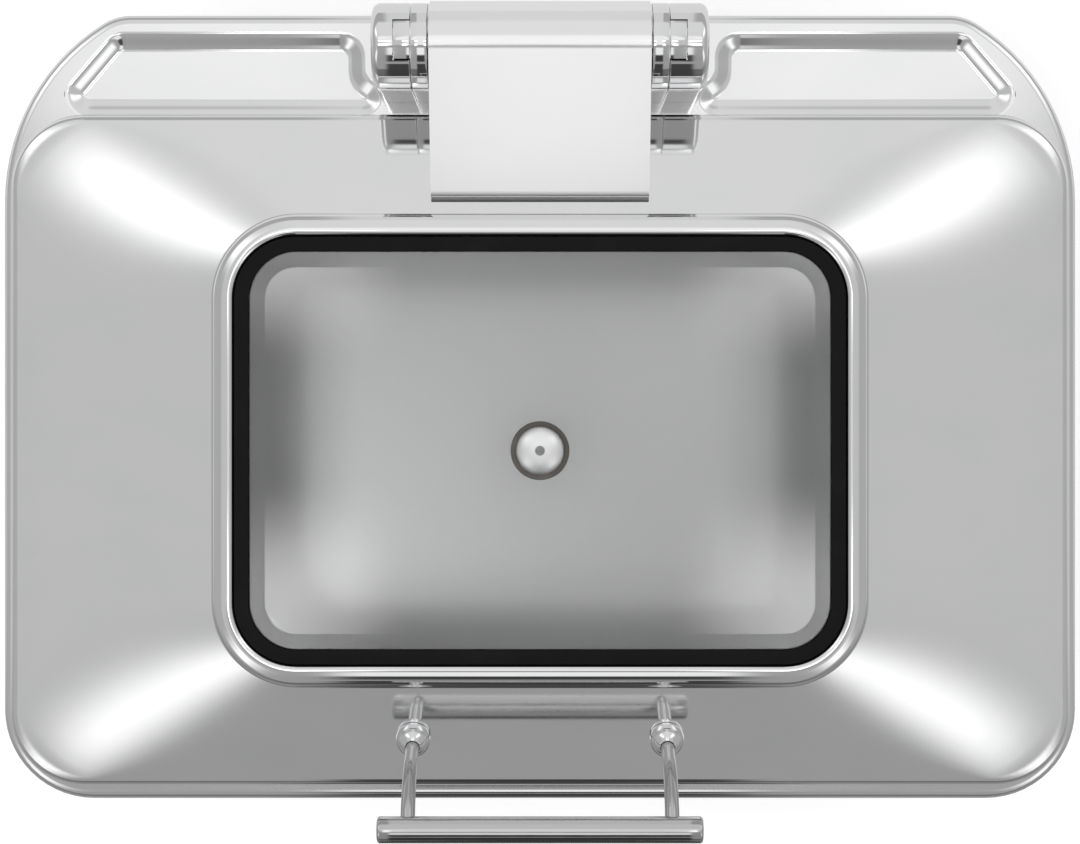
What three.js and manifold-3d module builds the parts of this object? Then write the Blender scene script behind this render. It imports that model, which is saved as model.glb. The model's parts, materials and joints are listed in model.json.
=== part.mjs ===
// A full-size induction chafing dish: a water pan with a wide rim, a food pan that hangs in it, and a
// windowed lid that swings on a damped hinge behind it.
// Sizes are in mm. X runs to the right, Y to the hinge at the back, Z up. The origin is the centre of
// the underside of the induction plate, under the middle of the food pan.
import * as THREE from "three";
import { mergeVertices } from "three/addons/utils/BufferGeometryUtils.js";
import Module from "manifold-3d";

const wasm = await Module();
wasm.setup();

// Shared clearances and counts
const fitGap = 0.3;
const overrun = 6;
const cornerSteps = 5;
const bendSteps = 3;
const roundSteps = 20;
const smallSteps = 10;
const sheet = 1.2;

// Food pan, a 1/1 gastronorm size
const panLength = 530;
const panDepth = 325;
const panFlangeRadius = 30;
const panFlangeWidth = 11;
const panMouthRadius = 42;
const panHeight = 65;
const panTaper = 14;
const panFloorFillet = 16;
const panSheet = 1;
const panFlangeDrop = 2.2;

// Water pan and its rim
const rimHeight = 100;
const rimSideStrip = 8.2;
const rimFrontStrip = 10.3;
const shelfDepth = 54.8;
const rimFrontRadius = 47;
const rimBackRadius = 110;
const rimBlendRadius = 28;
const rimBackSweep = 97.5;
const rimBendRadius = 5;
const rimLipHeight = 12;
const recessPlay = 1.5;
const ledgeWidth = 8.5;
const basinMouthRadius = 48;
const basinTaper = 13;
const basinFloorFillet = 18;

// Induction plate under the water pan
const plateThickness = 5;
const plateEndMargin = 25;
const plateSideMargin = 20;
const plateRadius = 34;
const plateChamfer = 1.5;

// Sunk panels either side of the hinge
const panelHingeMargin = 10.4;
const panelSideMargin = 35.7;
const panelFrontMargin = 4.3;
const panelBackMargin = 12.5;
const panelCutWidth = 23;
const panelCutDepth = 27;
const panelRadius = 10;
const panelSink = 4.5;
const panelFillet = 6;
const panelFlareRun = 22;
const panelFlareRise = 17;
const panelFlareTip = 6.8;

// Lid shell
const lidSideMargin = 6;
const lidEndMargin = 8.7;
const lidRadius = 38;
const lidLift = 2;
const lidSkirtHeight = 12.95;
const lidShoulderRadius = 6;
const lidEndSlopeAngle = 22.5;
const lidSideRun = 107.5;
const lidEndRun = 53.7;
const lidCornerBulge = 32;
const lidSlopeSteps = 4;
const bulgePeak = Math.sqrt(1 / 3) * (2 / 3);

// Lid bumpers
const bumperLength = 14;
const bumperWidth = 4;
const bumperRound = 1.5;
const bumperCornerMargin = 92;

// Window
const bezelRadius = 43;
const bezelWidth = 12.2;
const bezelHeight = 6.8;
const bezelEdge = 2.6;
const bezelWall = 1.6;
const bezelChannelDepth = 2.4;
const sealWidth = 7.2;
const sealLip = 0.9;
const sealRound = 0.7;
const sealWeb = 3.2;
const sealLedge = 5.5;
const glassThickness = 4;
const glassBevel = 0.9;
const clampThickness = 1.5;
const clampWidth = 9;
const studRadius = 2;
const studSteps = 8;
const hexSides = 6;
const studLongSpacing = 176;
const studShortSpacing = 104;
const nutRadius = 4.4;
const nutHeight = 3.2;
const studStickOut = 1.2;

// Steam vent
const ventHoleRadius = 2.25;
const ventStemRadius = 4.5;
const ventSleeveWall = 1.1;
const ventCapRadius = 12;
const ventCapEdge = 1.6;
const ventCapDome = 4.6;
const ventGasketRadius = 14.7;
const ventGasketThickness = 2;
const ventWasherRadius = 12;
const ventWasherThickness = 1.5;
const ventNutRadius = 8;
const ventNutHeight = 4;
const ventStemStickOut = 1.5;
const ventDomeSteps = 5;

// Handle
const handleLength = 158;
const handleRadius = 6.5;
const handleEndRound = 1.6;
const handlePostEndMargin = 14.7;
const handlePostRadius = 3.5;
const handleSeatShare = 0.54;
const handleBallRadius = 9;
const handleBallFlat = 1;
const ballSteps = 8;
const handlePostRise = 21.5;
const handlePostEnd = 9;
const handlePostStop = 1.5;
const handlePostBend = 44.9;
const handlePostBendAngle = 40;
const handlePostSteps = 11;
const handlePostSides = 10;
const handleWasherRadius = 8;
const handleWasherThickness = 1.6;
const handleNutRadius = 6.4;
const handleNutHeight = 5;

// Hinge
const hingeBackMargin = 24.7;
const hingeRise = 42;
const housingRadius = 21.4;
const housingWidth = 19.3;
const housingEndRound = 4;
const collarWidth = 8.4;
const tongueLength = 8.1;
const tongueHalfAngle = 26;
const tongueDepth = 5;
const coverHalfWidth = 55;
const coverRadius = 22.5;
const coverSheet = 1.5;
const coverBackAngle = -10;
const coverFrontMargin = 8.4;
const coverFrontRise = 3.3;
const cheekDropAngle = -150;
const runningGap = 0.7;
const barrelRadius = 20.7;
const barrelBore = 17;
const shaftRadius = 5;
const shaftEndCover = 6;
const shaftChamfer = 0.8;
const bushLength = 8;
const springWire = 3;
const springRadius = 9.5;
const springPitch = 5;
const springTurns = 6;
const springSteps = 8;
const springSides = 5;
const damperLength = 38;
const damperRadius = 15.5;
const damperNeck = 11;
const damperNeckLength = 6;
const damperStart = 6;
const footRun = 30;
const footThickness = 3;
const footMargin = 7;
const footTopMargin = 16;
const ribDropAngle = 215;
const ribThickness = 5;
const ribCount = 3;
const innerPlateThickness = 2;
const screwRadius = 2.5;
const screwHeadRadius = 4.8;
const screwHeadHeight = 2.6;
const screwGrip = 12;
const screwPlay = 0.4;
const lidScrewSpacing = 68;
const lidScrewRow = 16;
const backingThickness = 3;
const backingInset = 2.4;
const backingRadius = 4;
const baseScrewSpacing = 22;

// Places that follow from the sizes
const recessX = panLength / 2 + recessPlay;
const recessY = panDepth / 2 + recessPlay;
const recessRadius = panFlangeRadius + recessPlay;
const ledgeZ = rimHeight - panFlangeDrop - panSheet - fitGap;
const basinX = recessX - ledgeWidth;
const basinY = recessY - ledgeWidth;
const basinFloorZ = plateThickness + fitGap + sheet;
const lidX = recessX + lidSideMargin;
const lidY = recessY + lidEndMargin;
const rimX = lidX + rimSideStrip;
const rimFront = lidY + rimFrontStrip;
const rimBack = lidY + shelfDepth;
const endSlope = THREE.MathUtils.degToRad(lidEndSlopeAngle);
const bezelX = lidX - lidSideRun;
const bezelY = lidY - lidEndRun;
const lidBottom = rimHeight + lidLift;
const shoulderZ = lidBottom + lidSkirtHeight;
const shoulderEndInset = lidShoulderRadius * (1 - Math.sin(endSlope));
const shoulderEndZ = shoulderZ + lidShoulderRadius * Math.cos(endSlope);
const deckZ = shoulderEndZ + (lidEndRun - shoulderEndInset) * Math.tan(endSlope);
const sealX = bezelX - bezelWidth;
const sealY = bezelY - bezelWidth;
const sealRadius = bezelRadius - bezelWidth;
const glassZ = deckZ + fitGap + sealLip + fitGap;
const glassTop = glassZ + glassThickness;
const sealTop = glassTop + fitGap + sealLip;
const studInset = bezelWidth / 2;
const clampZ = deckZ - sheet - fitGap - clampThickness;
const hingeY = rimBack - hingeBackMargin;
const hingeZ = rimHeight + hingeRise;
const collarX = coverHalfWidth + runningGap;
const housingX = collarX + collarWidth + fitGap;
const housingEnd = housingX + housingWidth;
const shaftEnd = housingEnd - shaftEndCover;
const barrelHalf = coverHalfWidth - coverSheet - fitGap;
const shaftBore = shaftRadius + fitGap;
const backingTop = rimHeight - sheet - fitGap;

// Finishes
const finish = (color, roughness, metalness, extra = {}) =>
  new THREE.MeshStandardMaterial({ color, roughness, metalness, ...extra });
const polishedSteel = finish(0xd8d9da, 0.08, 1);
const satinSteel = finish(0xc9cacb, 0.3, 1);
const zincSteel = finish(0xa9abad, 0.4, 1);
const blackRubber = finish(0x151515, 0.6, 0);
const greySilicone = finish(0x5c5652, 0.5, 0);
const darkPolymer = finish(0x2a2a2c, 0.45, 0);
const clearGlass = finish(0xe8f0ee, 0.03, 0, { transparent: true, opacity: 0.3 });

const radians = THREE.MathUtils.degToRad;
const degrees = THREE.MathUtils.radToDeg;

// Points of an arc about a centre, angles in degrees.
function arc(centreX, centreY, radius, startAngle, endAngle, steps = cornerSteps) {
  return Array.from({ length: steps + 1 }, (_, i) => {
    const a = radians(startAngle + ((endAngle - startAngle) * i) / steps);
    return new THREE.Vector2(centreX + radius * Math.cos(a), centreY + radius * Math.sin(a));
  });
}

// A rectangle with round corners, anticlockwise.
function roundedRect(halfX, halfY, radius) {
  const x = halfX - radius;
  const y = halfY - radius;
  return [
    ...arc(x, -y, radius, -90, 0),
    ...arc(x, y, radius, 0, 90),
    ...arc(-x, y, radius, 90, 180),
    ...arc(-x, -y, radius, 180, 270),
  ];
}

// The rim seen from above: round front corners, and wide back corners that blend into the back edge.
function rimOutline(inset) {
  const backX = rimX - rimBackRadius;
  const backY = rimBack - rimBackSweep;
  const blendY = rimBack - rimBlendRadius;
  const reach = rimBackRadius - rimBlendRadius;
  const turn = Math.asin((blendY - backY) / reach);
  const turnAngle = degrees(turn);
  const blendX = backX + reach * Math.cos(turn);
  const right = [
    ...arc(rimX - rimFrontRadius, rimFrontRadius - rimFront, rimFrontRadius - inset, -90, 0),
    ...arc(backX, backY, rimBackRadius - inset, 0, turnAngle),
    ...arc(blendX, blendY, rimBlendRadius - inset, turnAngle, 90, bendSteps),
  ];
  const left = right.map((p) => new THREE.Vector2(-p.x, p.y)).reverse();
  return [...right, ...left];
}

// An outline of straight sides, anticlockwise, moved in by an inset. Each corner is x, y and the radius of
// its round, whose centre stays in place as the inset grows, whether the corner points out or in.
function roundedPolygon(corners, inset) {
  const points = corners.map(([x, y]) => new THREE.Vector2(x, y));
  return points.flatMap((point, i) => {
    const arriving = point.clone().sub(points.at(i - 1)).normalize();
    const leaving = points[(i + 1) % points.length].clone().sub(point).normalize();
    const turn = Math.atan2(arriving.cross(leaving), arriving.dot(leaving));
    const way = Math.sign(turn);
    const inward = new THREE.Vector2(-arriving.y, arriving.x);
    const nextInward = new THREE.Vector2(-leaving.y, leaving.x);
    const radius = corners[i][2];
    const centre = inward
      .clone()
      .add(nextInward)
      .multiplyScalar((way * radius) / (1 + inward.dot(nextInward)))
      .add(point);
    const from = degrees(Math.atan2(-way * inward.y, -way * inward.x));
    return arc(centre.x, centre.y, radius - way * inset, from, from + degrees(turn), bendSteps);
  });
}

// The faces between sections, which are outlines of equal point count at their heights. A closed skin
// joins the last section to the first, and an open one is capped at both ends.
function skin(sections, closed) {
  const count = sections[0].outline.length;
  const total = sections.length * count;
  const positions = sections.flatMap(({ outline, z }) => outline.flatMap((p) => [p.x, p.y, z]));
  const index = [];
  for (let s = 0; s < (closed ? sections.length : sections.length - 1); s++)
    for (let i = 0; i < count; i++) {
      const a = s * count + i;
      const b = s * count + ((i + 1) % count);
      const above = (a + count) % total;
      const besideAbove = (b + count) % total;
      index.push(a, b, besideAbove, a, besideAbove, above);
    }
  const last = total - count;
  for (let i = 1; i + 1 < count && !closed; i++)
    index.push(0, i + 1, i, last, last + i, last + i + 1);
  const geometry = new THREE.BufferGeometry();
  geometry.setAttribute("position", new THREE.Float32BufferAttribute(positions, 3));
  geometry.setIndex(index);
  return geometry;
}

// A solid for cutting and joining, from a closed geometry.
function solid(geometry) {
  const bare = geometry.clone();
  bare.deleteAttribute("normal");
  bare.deleteAttribute("uv");
  const merged = mergeVertices(bare, 1e-4);
  return new wasm.Manifold(
    new wasm.Mesh({
      numProp: 3,
      vertProperties: new Float32Array(merged.attributes.position.array),
      triVerts: new Uint32Array(merged.index.array),
    }),
  );
}

const loft = (sections) => solid(skin(sections, false));

// A ring: a profile of offset and height, carried round an outline that grows with the offset.
const ring = (profile, outlineAt) =>
  solid(skin(profile.map(([offset, z]) => ({ outline: outlineAt(offset), z })), true));

// A solid of revolution about Z, from its profile of radius and height.
function turned(profile, steps = roundSteps) {
  const outline = profile.map(([r, z]) => new THREE.Vector2(r, z));
  return solid(new THREE.LatheGeometry(outline, steps).rotateX(Math.PI / 2));
}

// A pin or hole about Z between two heights.
const rod = (radius, from, to, steps = roundSteps) =>
  turned([[0, from], [radius, from], [radius, to], [0, to]], steps);

// A tube about Z, open at both ends.
const tube = (bore, radius, from, to, steps = roundSteps) =>
  turned([[bore, from], [radius, from], [radius, to], [bore, to], [bore, from]], steps);

function moved(body, matrix) {
  return solid(shape(body).applyMatrix4(matrix));
}

const shifted = (body, x, y, z) => moved(body, new THREE.Matrix4().makeTranslation(x, y, z));

// The same piece on the left side.
function mirrored(body) {
  const geometry = shape(body).applyMatrix4(new THREE.Matrix4().makeScale(-1, 1, 1));
  const { array } = geometry.index;
  for (let i = 0; i < array.length; i += 3) {
    [array[i + 1], array[i + 2]] = [array[i + 2], array[i + 1]];
  }
  return solid(geometry);
}

// The solid turned so that its Z runs along X.
const acrossTurn = new THREE.Matrix4().makeBasis(
  new THREE.Vector3(0, 1, 0),
  new THREE.Vector3(0, 0, 1),
  new THREE.Vector3(1, 0, 0),
);
const across = (body) => moved(body, acrossTurn);

// An outline of Y and Z carried along X between two places.
function acrossPlate(outline, fromX, toX) {
  const geometry = new THREE.ExtrudeGeometry(new THREE.Shape(outline), {
    depth: toX - fromX,
    bevelEnabled: false,
  });
  return shifted(across(solid(geometry)), fromX, 0, 0);
}

// The geometry of a solid, for a mesh.
function shape(body) {
  const { numProp, vertProperties, triVerts } = body.getMesh();
  const geometry = new THREE.BufferGeometry();
  const positions = new THREE.BufferAttribute(new Float32Array(vertProperties), numProp);
  geometry.setAttribute("position", positions);
  geometry.setIndex(new THREE.BufferAttribute(new Uint32Array(triVerts), 1));
  return geometry;
}

const cut = (body, ...tools) => tools.reduce((left, tool) => left.subtract(tool), body);
const join = (...bodies) => bodies.reduce((all, body) => all.add(body));

function mesh(name, body, material) {
  const geometry = shape(body).toNonIndexed();
  geometry.computeVertexNormals();
  const made = new THREE.Mesh(geometry, material);
  made.name = name;
  return made;
}

const deckOutline = (offset) => roundedRect(sealX + offset, sealY + offset, sealRadius + offset);

// Height of the lid's front and back slopes at a distance from its middle.
const slopeZ = (y) => deckZ - (y - bezelY) * Math.tan(endSlope);

// The frame of a seat on a slope, with Z square to the sheet: side -1 is the front, 1 the back.
function slopeFrame(side, y) {
  const frame = new THREE.Matrix4().makeRotationX(-side * endSlope);
  return frame.setPosition(0, side * y, slopeZ(y));
}

// Sections of a bowl from its floor to its mouth, made larger all round by grow.
function bowl({ mouthX, mouthY, radius, taper, mouthZ, floorZ, fillet }, grow) {
  const round = fillet + grow;
  const sections = Array.from({ length: bendSteps + 1 }, (_, i) => {
    const a = (Math.PI * i) / bendSteps / 2;
    const out = grow - taper - round * (1 - Math.sin(a));
    return {
      outline: roundedRect(mouthX + out, mouthY + out, radius + out + taper),
      z: floorZ + fillet - round * Math.cos(a),
    };
  });
  return [...sections, { outline: roundedRect(mouthX + grow, mouthY + grow, radius + grow), z: mouthZ }];
}

// The rim with its turned-down edge, as a solid block moved in by an inset.
function rimBlock(inset, bottom) {
  const bend = rimBendRadius - inset;
  const bendZ = rimHeight - rimBendRadius;
  const edge = Array.from({ length: bendSteps + 1 }, (_, i) => {
    const a = (Math.PI * i) / bendSteps / 2;
    return { outline: rimOutline(inset + bend * (1 - Math.cos(a))), z: bendZ + bend * Math.sin(a) };
  });
  return loft([{ outline: rimOutline(inset), z: bottom }, ...edge]);
}

// The right-hand sunk panel, which flares towards the hinge along the lid, with its top at a height.
function panelBlock(grow, top) {
  const inner = housingEnd + panelHingeMargin;
  const outer = rimX - panelSideMargin;
  const front = lidY + panelFrontMargin;
  const back = rimBack - panelBackMargin;
  const corners = [
    [inner - panelFlareRun, front, panelFlareTip],
    [outer, front, panelRadius],
    [outer, back - panelCutDepth, panelRadius],
    [outer - panelCutWidth, back, panelRadius],
    [inner, back, panelRadius],
    [inner, front + panelFlareRise, panelRadius],
  ];
  const wall = Array.from({ length: bendSteps + 1 }, (_, i) => {
    const a = (Math.PI * i) / bendSteps / 2;
    const inset = panelFillet * (1 - Math.sin(a)) - grow;
    return {
      outline: roundedPolygon(corners, inset),
      z: rimHeight - grow - panelSink * Math.cos(a),
    };
  });
  return loft([...wall, { outline: wall.at(-1).outline, z: top }]);
}

function waterPan() {
  const basin = {
    mouthX: basinX,
    mouthY: basinY,
    radius: basinMouthRadius,
    taper: basinTaper,
    floorZ: basinFloorZ,
    fillet: basinFloorFillet,
  };
  const recess = (grow, z) => ({
    outline: roundedRect(recessX + grow, recessY + grow, recessRadius + grow),
    z,
  });
  const inRim = rimHeight - sheet / 2;
  const undersideZ = ledgeZ - sheet;
  const outside = loft([
    ...bowl({ ...basin, mouthZ: undersideZ }, sheet),
    recess(sheet, undersideZ),
    recess(sheet, inRim),
  ]);
  const inside = loft([
    ...bowl({ ...basin, mouthZ: ledgeZ }, 0),
    recess(0, ledgeZ),
    recess(0, rimHeight + overrun),
  ]);
  const rim = cut(
    rimBlock(0, rimHeight - rimLipHeight),
    rimBlock(sheet, rimHeight - rimLipHeight - overrun),
  );
  const panel = panelBlock(sheet, inRim);
  const hollow = panelBlock(0, rimHeight + overrun);
  return cut(
    join(rim, outside, panel, mirrored(panel)),
    inside,
    hollow,
    mirrored(hollow),
    ...baseScrewPlaces().map(([x, y]) => shifted(baseScrewHole(), x, y, 0)),
  );
}

function inductionPlate() {
  const outline = (inset) =>
    roundedRect(
      basinX - basinTaper - plateEndMargin - inset,
      basinY - basinTaper - plateSideMargin - inset,
      plateRadius - inset,
    );
  return loft([
    { outline: outline(plateChamfer), z: 0 },
    { outline: outline(0), z: plateChamfer },
    { outline: outline(0), z: plateThickness },
  ]);
}

function foodPan() {
  const flangeTop = rimHeight - panFlangeDrop;
  const body = {
    mouthX: panLength / 2 - panFlangeWidth,
    mouthY: panDepth / 2 - panFlangeWidth,
    radius: panMouthRadius,
    taper: panTaper,
    floorZ: flangeTop - panHeight,
    fillet: panFloorFillet,
  };
  const flangeOutline = roundedRect(panLength / 2, panDepth / 2, panFlangeRadius);
  const flange = loft([
    { outline: flangeOutline, z: flangeTop - panSheet },
    { outline: flangeOutline, z: flangeTop },
  ]);
  const outside = loft(bowl({ ...body, mouthZ: flangeTop - panSheet / 2 }, panSheet));
  return cut(join(flange, outside), loft(bowl({ ...body, mouthZ: flangeTop + overrun }, 0)));
}

// A rest pad between rim and lid edge.
function bumper() {
  const outline = roundedRect(bumperLength / 2, bumperWidth / 2, bumperRound);
  return loft([
    { outline, z: rimHeight + fitGap },
    { outline, z: lidBottom - fitGap },
  ]);
}

// How much of the corner bulge a share of the slope has: most of it low down, none at either end.
const bulgeShare = (share) => (Math.sqrt(share) * (1 - share)) / bulgePeak;

// Sections of the lid from its edge to its deck, with the way that the sheet faces there.
function lidSections() {
  const shoulder = Array.from({ length: bendSteps + 1 }, (_, i) => {
    const tilt = ((Math.PI / 2 - endSlope) * i) / bendSteps;
    const inset = lidShoulderRadius * (1 - Math.cos(tilt));
    return { inset, z: shoulderZ + lidShoulderRadius * Math.sin(tilt), tilt, share: 0 };
  });
  const { inset, z, tilt } = shoulder.at(-1);
  const slope = Array.from({ length: lidSlopeSteps }, (_, i) => {
    const share = (i + 1) / lidSlopeSteps;
    return { inset, z: z + (deckZ - z) * share, tilt, share };
  });
  return [{ inset: 0, z: lidBottom, tilt: 0, share: 0 }, ...shoulder, ...slope];
}

// The lid as a solid block, with its walls moved in by a thickness.
function lidBlock(wall, drop) {
  return loft(
    lidSections().map(({ inset, z, tilt, share }, i) => {
      const moveIn = wall * Math.cos(tilt);
      const lower = i ? 0 : drop;
      const startRadius = lidRadius - inset;
      const bulge = lidCornerBulge * bulgeShare(share);
      const radius = startRadius + (bezelRadius - startRadius) * share + bulge;
      return {
        outline: roundedRect(
          lidX - inset - (lidSideRun - inset) * share - moveIn,
          lidY - inset - (lidEndRun - inset) * share - moveIn,
          radius - moveIn,
        ),
        z: z - wall * Math.sin(tilt) - lower,
      };
    }),
  );
}

function lidShell() {
  const mouth = deckOutline(-sealLedge);
  const opening = loft([
    { outline: mouth, z: deckZ - overrun },
    { outline: mouth, z: deckZ + overrun },
  ]);
  const studHole = rod(studRadius + fitGap, deckZ - overrun, deckZ + overrun, studSteps);
  const postHole = rod(handlePostBore, -overrun, overrun, handlePostSides);
  const seat = slopeFrame(-1, handleSeatY);
  const screwHole = rod(screwRadius + screwPlay, -overrun, overrun, studSteps);
  const foot = slopeFrame(1, footY);
  return cut(
    lidBlock(0, 0),
    lidBlock(sheet, overrun),
    opening,
    ...studPlaces().map(([x, y]) => shifted(studHole, x, y, 0)),
    ...handlePostPlaces.map((x) => moved(shifted(postHole, x, 0, 0), seat)),
    ...lidScrewPlaces().map(([x, y]) => moved(shifted(screwHole, x, y, 0), foot)),
  );
}

// Where the frame's studs go through the lid: two on each side of the window.
function studPlaces() {
  const x = sealX + studInset;
  const y = sealY + studInset;
  return [-1, 1].flatMap((side) =>
    [-1, 1].flatMap((end) => [
      [(end * studLongSpacing) / 2, side * y],
      [side * x, (end * studShortSpacing) / 2],
    ]),
  );
}

// The polished frame round the window: rounded above, hollow below, with studs through the lid.
function windowBezel() {
  const base = deckZ + fitGap;
  const top = deckZ + bezelHeight;
  const channelTop = base + bezelChannelDepth;
  const crown = fitGap + bezelEdge;
  const quarter = (steps, at) =>
    Array.from({ length: steps + 1 }, (_, i) => at((Math.PI * i) / steps / 2));
  const outer = quarter(cornerSteps, (a) => [
    crown + (bezelWidth - crown) * Math.cos(a),
    base + (top - base) * Math.sin(a),
  ]);
  const inner = quarter(bendSteps, (a) => [
    crown - bezelEdge * Math.sin(a),
    top - bezelEdge * (1 - Math.cos(a)),
  ]).slice(1);
  const frame = ring(
    [
      [fitGap, base],
      [fitGap + bezelWall, base],
      [fitGap + bezelWall, channelTop],
      [bezelWidth - bezelWall, channelTop],
      [bezelWidth - bezelWall, base],
      ...outer,
      ...inner,
    ],
    deckOutline,
  );
  const studBottom = clampZ - fitGap - nutHeight - studStickOut;
  const stud = rod(studRadius, studBottom, channelTop + bezelWall, studSteps);
  return join(frame, ...studPlaces().map(([x, y]) => shifted(stud, x, y, 0)));
}

// The rubber channel that holds the edge of the glass.
function windowSeal() {
  const bottom = deckZ + fitGap;
  return ring(
    [
      [-sealWidth, bottom],
      [0, bottom],
      [0, sealTop - sealRound],
      [-sealRound, sealTop],
      [sealRound - sealWidth, sealTop],
      [-sealWidth, glassTop + fitGap],
      [-sealWeb, glassTop + fitGap],
      [-sealWeb, glassZ - fitGap],
      [-sealWidth, glassZ - fitGap],
    ],
    deckOutline,
  );
}

function windowGlass() {
  const edge = -sealWeb - fitGap;
  const pane = loft([
    { outline: deckOutline(edge - glassBevel), z: glassZ },
    { outline: deckOutline(edge), z: glassZ + glassBevel },
    { outline: deckOutline(edge), z: glassTop - glassBevel },
    { outline: deckOutline(edge - glassBevel), z: glassTop },
  ]);
  return cut(pane, rod(ventSleeveRadius + fitGap, glassZ - overrun, glassTop + overrun));
}

function windowClampFrame() {
  const innerEdge = studInset - clampWidth / 2;
  const outerEdge = studInset + clampWidth / 2;
  const frame = ring(
    [
      [innerEdge, clampZ],
      [outerEdge, clampZ],
      [outerEdge, clampZ + clampThickness],
      [innerEdge, clampZ + clampThickness],
    ],
    deckOutline,
  );
  const hole = rod(studRadius + fitGap, clampZ - overrun, clampZ + overrun, studSteps);
  return cut(frame, ...studPlaces().map(([x, y]) => shifted(hole, x, y, 0)));
}

// A hexagon nut about Z, with its top at a height.
const nut = (radius, bore, height, top) =>
  cut(
    rod(radius, top - height, top, hexSides),
    rod(bore, top - height - overrun, top + overrun, smallSteps),
  );

const ventBore = ventStemRadius + fitGap;
const ventSleeveRadius = ventBore + ventSleeveWall;
const ventFlangeZ = glassTop + fitGap;
const ventCapZ = ventFlangeZ + ventGasketThickness + fitGap;
const ventWasherZ = glassZ - fitGap - ventWasherThickness;
const ventNutTop = ventWasherZ - fitGap;

function ventGasket() {
  const top = ventFlangeZ + ventGasketThickness;
  return turned([
    [ventBore, glassZ],
    [ventSleeveRadius, glassZ],
    [ventSleeveRadius, ventFlangeZ],
    [ventGasketRadius, ventFlangeZ],
    [ventGasketRadius, top],
    [ventBore, top],
    [ventBore, glassZ],
  ]);
}

// The domed cap and the hollow stem under it, bored through for the steam.
function ventCap() {
  const bottom = ventNutTop - ventNutHeight - ventStemStickOut;
  const edgeTop = ventCapZ + ventCapEdge;
  const end = Math.acos(ventHoleRadius / ventCapRadius);
  const dome = Array.from({ length: ventDomeSteps + 1 }, (_, i) => {
    const a = (end * i) / ventDomeSteps;
    return [ventCapRadius * Math.cos(a), edgeTop + ventCapDome * Math.sin(a)];
  });
  return turned([
    [ventHoleRadius, bottom],
    [ventStemRadius, bottom],
    [ventStemRadius, ventCapZ],
    [ventCapRadius, ventCapZ],
    ...dome,
    [ventHoleRadius, bottom],
  ]);
}

// Handle, in the frame of its seat on the front slope
const handleSeatY = bezelY + (lidEndRun - shoulderEndInset) * handleSeatShare;
const handlePostX = handleLength / 2 - handlePostEndMargin;
const handlePostPlaces = [-handlePostX, handlePostX];
const handlePostBore = handlePostRadius + fitGap;
const ballZ = fitGap + handleBallFlat;
const postBend = radians(handlePostBendAngle);
const postEndWay = new THREE.Vector3(0, -Math.sin(postBend), Math.cos(postBend));
const elbowZ = ballZ + handlePostRise;
const elbowEnd = new THREE.Vector3(
  0,
  -handlePostBend * (1 - Math.cos(postBend)),
  elbowZ + handlePostBend * Math.sin(postBend),
);
const barPlace = elbowEnd.clone().addScaledVector(postEndWay, handlePostEnd);
const washerTop = -sheet - fitGap;
const handleNutTop = washerTop - handleWasherThickness - fitGap;

// A curved post: square to the slope through ball, sheet, washer and nut, then bent towards the bar.
function handlePost() {
  const bottom = new THREE.Vector3(0, 0, handleNutTop - handleNutHeight - studStickOut);
  const elbow = new THREE.Vector3(0, 0, elbowZ);
  const end = barPlace.clone().addScaledVector(postEndWay, -handlePostStop - fitGap);
  const bend = Array.from({ length: bendSteps + 1 }, (_, i) => {
    const a = (postBend * i) / bendSteps;
    return new THREE.Vector3(
      0,
      -handlePostBend * (1 - Math.cos(a)),
      elbowZ + handlePostBend * Math.sin(a),
    );
  });
  const path = new THREE.CurvePath();
  path.add(new THREE.LineCurve3(bottom, elbow));
  path.add(new THREE.CatmullRomCurve3(bend));
  path.add(new THREE.LineCurve3(elbowEnd, end));
  const section = new THREE.Shape(arc(0, 0, handlePostRadius, 0, 360, handlePostSides).slice(1));
  return solid(
    new THREE.ExtrudeGeometry(section, {
      steps: handlePostSteps,
      extrudePath: path,
      bevelEnabled: false,
    }),
  );
}

// The half ball that each post stands in, bored for it.
function handleBall() {
  const low = degrees(Math.asin(-handleBallFlat / handleBallRadius));
  const high = degrees(Math.acos(handlePostBore / handleBallRadius));
  const round = arc(0, ballZ, handleBallRadius, low, high, ballSteps).map((p) => [p.x, p.y]);
  return turned([[handlePostBore, fitGap], ...round, [handlePostBore, fitGap]], ballSteps * 2);
}

function handleBar() {
  const half = handleLength / 2;
  const endX = handleRadius - handleEndRound;
  const end = arc(endX, half - handleEndRound, handleEndRound, 0, 90, bendSteps);
  const profile = end.map((p) => [p.x, p.y]);
  const otherEnd = profile.map(([r, z]) => [r, -z]).reverse();
  const bar = across(turned([[0, -half], ...otherEnd, ...profile, [0, half]]));
  const bore = rod(handlePostBore, handlePostStop, handleRadius + overrun, handlePostSides);
  const back = new THREE.Quaternion().setFromUnitVectors(
    new THREE.Vector3(0, 0, 1),
    postEndWay.clone().negate(),
  );
  const turn = new THREE.Matrix4().makeRotationFromQuaternion(back);
  return cut(bar, ...handlePostPlaces.map((x) => shifted(moved(bore, turn), x, 0, 0)));
}

// Hinge, in the frame of the whole dish
const footY = bezelY + footTopMargin + footRun / 2;
const footHalf = coverHalfWidth - footMargin;
const axisRod = (radius, fromX, toX, steps = roundSteps) =>
  shifted(across(rod(radius, fromX, toX, steps)), 0, hingeY, hingeZ);
const hingePoint = (radius, angle) =>
  new THREE.Vector2(
    hingeY + radius * Math.cos(radians(angle)),
    hingeZ + radius * Math.sin(radians(angle)),
  );
const hingeArc = (radius, from, to, steps = roundSteps / 2) =>
  arc(hingeY, hingeZ, radius, from, to, steps);

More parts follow.
